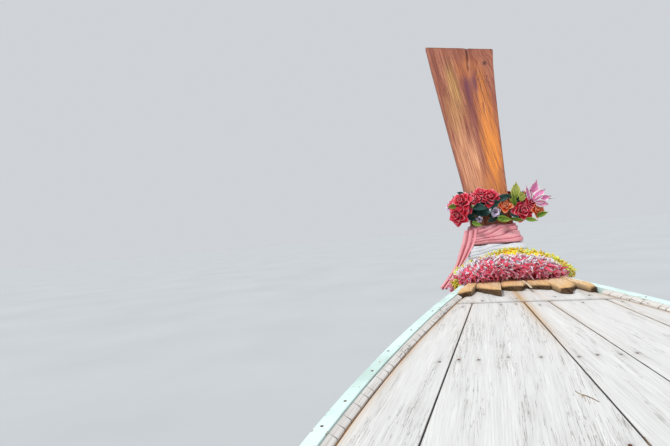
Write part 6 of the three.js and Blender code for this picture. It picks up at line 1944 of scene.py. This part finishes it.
tailPiece("TillerLever", [*lever, *clips, boltShell([[start + .012, side * .045, 0] for side in (1, -1)], [1, 0, 0],
                                                    .014)], galvanised, sharp=32)
tailPiece("TillerWelds", [weldShell(circleOf([start + .0125, 0, -.002], .0195, 33, axis=0), .003)], castIron, sharp=60)

# Tail tube: a bolted flange, a coned neck, the long tube with its stays, the bearing and the fin
tail = {"stayFore": [-.27, .078], "stayAft": [-2.1, .006, .202]}
c = gear["crank"]
(foreX, foreY), (aftX, aftY, aftZ) = tail["stayFore"], tail["stayAft"]
neck = turned([-.2403, 0, c], [-1, 0, c], [[0, .095], [.0195, .095], [.0215, .0935], [.0217, .064], [.03, .0615],
                                           [.13, .05], [.215, .036], [.225, .0342], [.24, .034]], 48)
mainRows = [[.19, .0318]]
for seam in (.9, 1.9, 2.75):
    mainRows += [[seam - .041, .032], [seam - .04, .0355], [seam + .04, .0355], [seam + .041, .032]]
mainRows += [[3.55, .032], [3.5552, .0325]]
main = turned([-.25, 0, c], [-1, 0, c], mainRows, 36)
bearing = turned([-3.715, 0, c], [-4, 0, c], [[0, .033], [.001, .038], [.02, .0385], [.022, .04], [.06, .0418],
                                              [.084, .042], [.0895, .038], [.0898, .0275], [.06, .027], [.059, .001]],
                 40)
stays = [roundBar(np.linspace([foreX + .002, side * foreY, c], [aftX, side * aftY, aftZ], 30), .0108)
         for side in (1, -1)]
nuts = []
for side in (1, -1):
    a, b = np.array([foreX, side * foreY, c]), np.array([aftX, side * aftY, aftZ])
    way = unit(b - a)
    nuts.append(turned(a + way * .03, b, [[0, .012], [.001, .0175], [.018, .0175], [.019, .012]], 6))
    nuts.append(turned(a + way * .16, b, [[0, .011], [.004, .0155], [.1, .0155], [.104, .011]], 20))
    nuts.append(turned(a + way, b, [[0, .011], [.002, .0142], [.02, .0142], [.022, .011]], 20))
tailPiece("TailTube", [neck, main, bearing, *stays], galvanised, nodes=["tail_tube"])
nuts.append(boltShell(circleOf([-.262, 0, c], .08, 6, start=.52), [-1, 0, 0], .014))
nuts.append(turned([-3.645, 0, c + .03], [-3.645, 0, 1], [[0, .008], [.006, .008], [.0065, .004], [.012, .004],
                                                          [.0135, .0052], [.016, .003]], 12))
tailPiece("TailFastenings", nuts, darkSteel)

# Fin under the tube: a plate with a rounded rim
outline = np.array([[-3.38, .1915], [-3.47, .118], [-3.56, .042], [-3.78, .024], [-4.01, .0065], [-4.0125, .014],
                    [-4.01, .0215], [-3.89, .034], [-3.77, .044], [-3.752, .118], [-3.741, .1915]])
ring = np.concatenate([curveThrough(outline[k:k + 2], 12)[:-1] for k in range(len(outline) - 1)]
                      + [curveThrough(outline[[-1, 0]], 22)[:-1]])
centre = np.array([-3.66, .115])
sheets = []
for half, share in ((-.003, .992), (-.0022, 1.0), (.0022, 1.0), (.003, .992)):
    flat = centre + (ring - centre) * share
    sheets.append(np.stack([flat[:, 0], 0 * flat[:, 0] + half, flat[:, 1]], -1))
tailPiece("TailFin", [sweep(sheets)], darkSteel)
tailPiece("FinWelds", [weldShell([[-3.385, side * .004, .1905], [-3.738, side * .004, .1905]], .0032)
                       for side in (1, -1)], castIron, sharp=60)

# Propeller: three blades; at each radius a thin section of given chord, pitch angle and thickness, swept a little back
propeller = {"blades": 3, "turn": .2, "x": -3.9, "sections": [[.018, .06, 62, .0125], [.04, .082, 53, .0105],
                                                              [.06, .096, 46, .009], [.1, .112, 33, .006],
                                                              [.135, .092, 26, .0042], [.148, .062, 24, .003],
                                                              [.1542, .026, 23, .0018]]}
table = curveThrough(propeller["sections"], 26)
radius, chord, pitch, thick = (table[:, k][:, None] for k in range(4))
cosine, sine = circle(36)
along, depth = .5 * cosine, .5 * sine * (1 - .25 * cosine) * np.abs(sine)**.15
pitch = np.radians(pitch)
axial = along * chord * np.sin(pitch) + depth * thick * np.cos(pitch)
across = along * chord * np.cos(pitch) - depth * thick * np.sin(pitch)
blades = []
for k in range(propeller["blades"]):
    turn = k / propeller["blades"] * 2 * np.pi + propeller["turn"]
    blades.append(sweep(np.stack([propeller["x"] + axial, radius * np.cos(turn) - across * np.sin(turn),
                                  c + radius * np.sin(turn) + across * np.cos(turn)], -1)))
hub = turned([propeller["x"], 0, c], [0, 0, c], [[-.042, .022], [-.041, .0265], [-.036, .0295], [-.02, .0302],
                                                 [.02, .0272], [.044, .0245], [.047, .022], [.048, .0135]], 40)
shaft = turned([-3.8053, 0, c], [-4, 0, c], [[0, .0125], [.0006, .013], [.06, .013]], 24)
nut = [turned([-3.9405, 0, c], [-4, 0, c], [[0, .0215], [.002, .0215], [.0025, .015], [.019, .015], [.021, .0125]], 6),
       turned([-3.96, 0, c], [-4, 0, c], [[0, .009], [.0085, .009], [.0098, .0065]], 20)]
tailPiece("PropellerBlades", blades, bronze, body="propeller", nodes=["propeller"], sharp=60)
tailPiece("PropellerHub", [hub], bronze, body="propeller")
tailPiece("PropellerShaft", [shaft, *nut], galvanised, body="propeller")
print("tail made")
# Camera: the photograph's place and direction, worked out for a frame of 670 x 446
view = {"place": (1.788, .378, 1.2), "right": (.176, -.9808, -.0836), "up": (-.0161, -.0877, .996),
        "forward": (.9843, .174, .0312), "focalPixels": 447, "frameWidth": 670, "sensor": 36}
cameraData = bpy.data.cameras.new("Foredeck camera")
cameraData.sensor_width = view["sensor"]
cameraData.lens = view["focalPixels"] / view["frameWidth"] * view["sensor"]
cameraData.clip_start = .05
cameraData.clip_end = 500
camera = bpy.data.objects.new("Foredeck camera", cameraData)
bpy.context.scene.collection.objects.link(camera)
turn = Matrix([view["right"], view["up"], [-c for c in view["forward"]]]).transposed().to_4x4()
camera.matrix_world = Matrix.Translation(view["place"]) @ turn
bpy.context.scene.camera = camera

# Stage: a pale plain at the waterline, open where the hull floats in it, as light as the sky round it.
# Lights: watts for each square metre, spread in degrees, where the light comes from, tint
stage = {"radius": 150.0, "floor": ("#B7BBBE", "#BDC1C4"), "inset": .012, "sky": "#EDF1F6", "skyStrength": .74,
         "lights": {"Key": [2.1, 14, (-.42, .4, .85), "#FFFCF6"], "Fill": [.5, 50, (.6, -.6, .55), "#EEF4FF"]}}


def waterOutline():
    x = np.linspace(transomX + .002, 3.5, 90)
    y = np.array([breadthAt(one, 0.0, stage["inset"]) for one in x])
    port = np.stack([x, y], 1)
    nose = np.array([[3.58, .02]])
    return np.concatenate([port, nose, nose * [1, -1], port[::-1] * [1, -1]])


def makeFloor():
    inner = waterOutline()
    shares = np.concatenate([[0], np.geomspace(.002, 1, 14)])
    angle = np.arctan2(inner[:, 1], inner[:, 0] * .2)
    far = stage["radius"] * np.stack([np.cos(angle), np.sin(angle)], 1)
    grid = inner[None] + shares[:, None, None] * (far - inner)[None]
    points = np.concatenate([grid, np.zeros(grid.shape[:2] + (1,))], -1)
    shell = closedSheet(points)
    mesh = bpy.data.meshes.new("Pale floor")
    mesh.from_pydata(shell["points"].tolist(), [], shell["quads"][:, ::-1].tolist())
    material, add = newMaterial("Pale studio floor")
    soft = add("TexNoise", {"Scale": .6, "Detail": 3, "Vector": add("TexCoord", {}, "Object")})
    tone = add("ValToRGB", {0: soft}, stops=list(zip((.3, .7), stage["floor"])))
    surface = add("BsdfPrincipled", {"Roughness": .9, "Specular IOR Level": .1, "Base Color": tone})
    add("OutputMaterial", {"Surface": surface})
    mesh.materials.append(material)
    floor = bpy.data.objects.new("Pale floor", mesh)
    bpy.context.scene.collection.objects.link(floor)


makeFloor()
world = bpy.data.worlds.new("Soft studio sky")
world.use_nodes = True
world.node_tree.nodes.clear()
sky = addNode(world.node_tree, "Background", {"Color": hexColour(stage["sky"]), "Strength": stage["skyStrength"]})
addNode(world.node_tree, "OutputWorld", {"Surface": sky})
bpy.context.scene.world = world
for name, (power, spread, source, tint) in stage["lights"].items():
    lamp = bpy.data.lights.new(name, "SUN")
    lamp.energy = power
    lamp.angle = np.radians(spread)
    lamp.color = hexColour(tint)[:3]
    holder = bpy.data.objects.new(name, lamp)
    holder.rotation_euler = Vector(source).to_track_quat("Z", "Y").to_euler()
    bpy.context.scene.collection.objects.link(holder)
bpy.context.scene.view_settings.view_transform = "Standard"
bpy.context.scene.view_settings.look = "None"

bpy.context.view_layer.update()
print("scene ready")
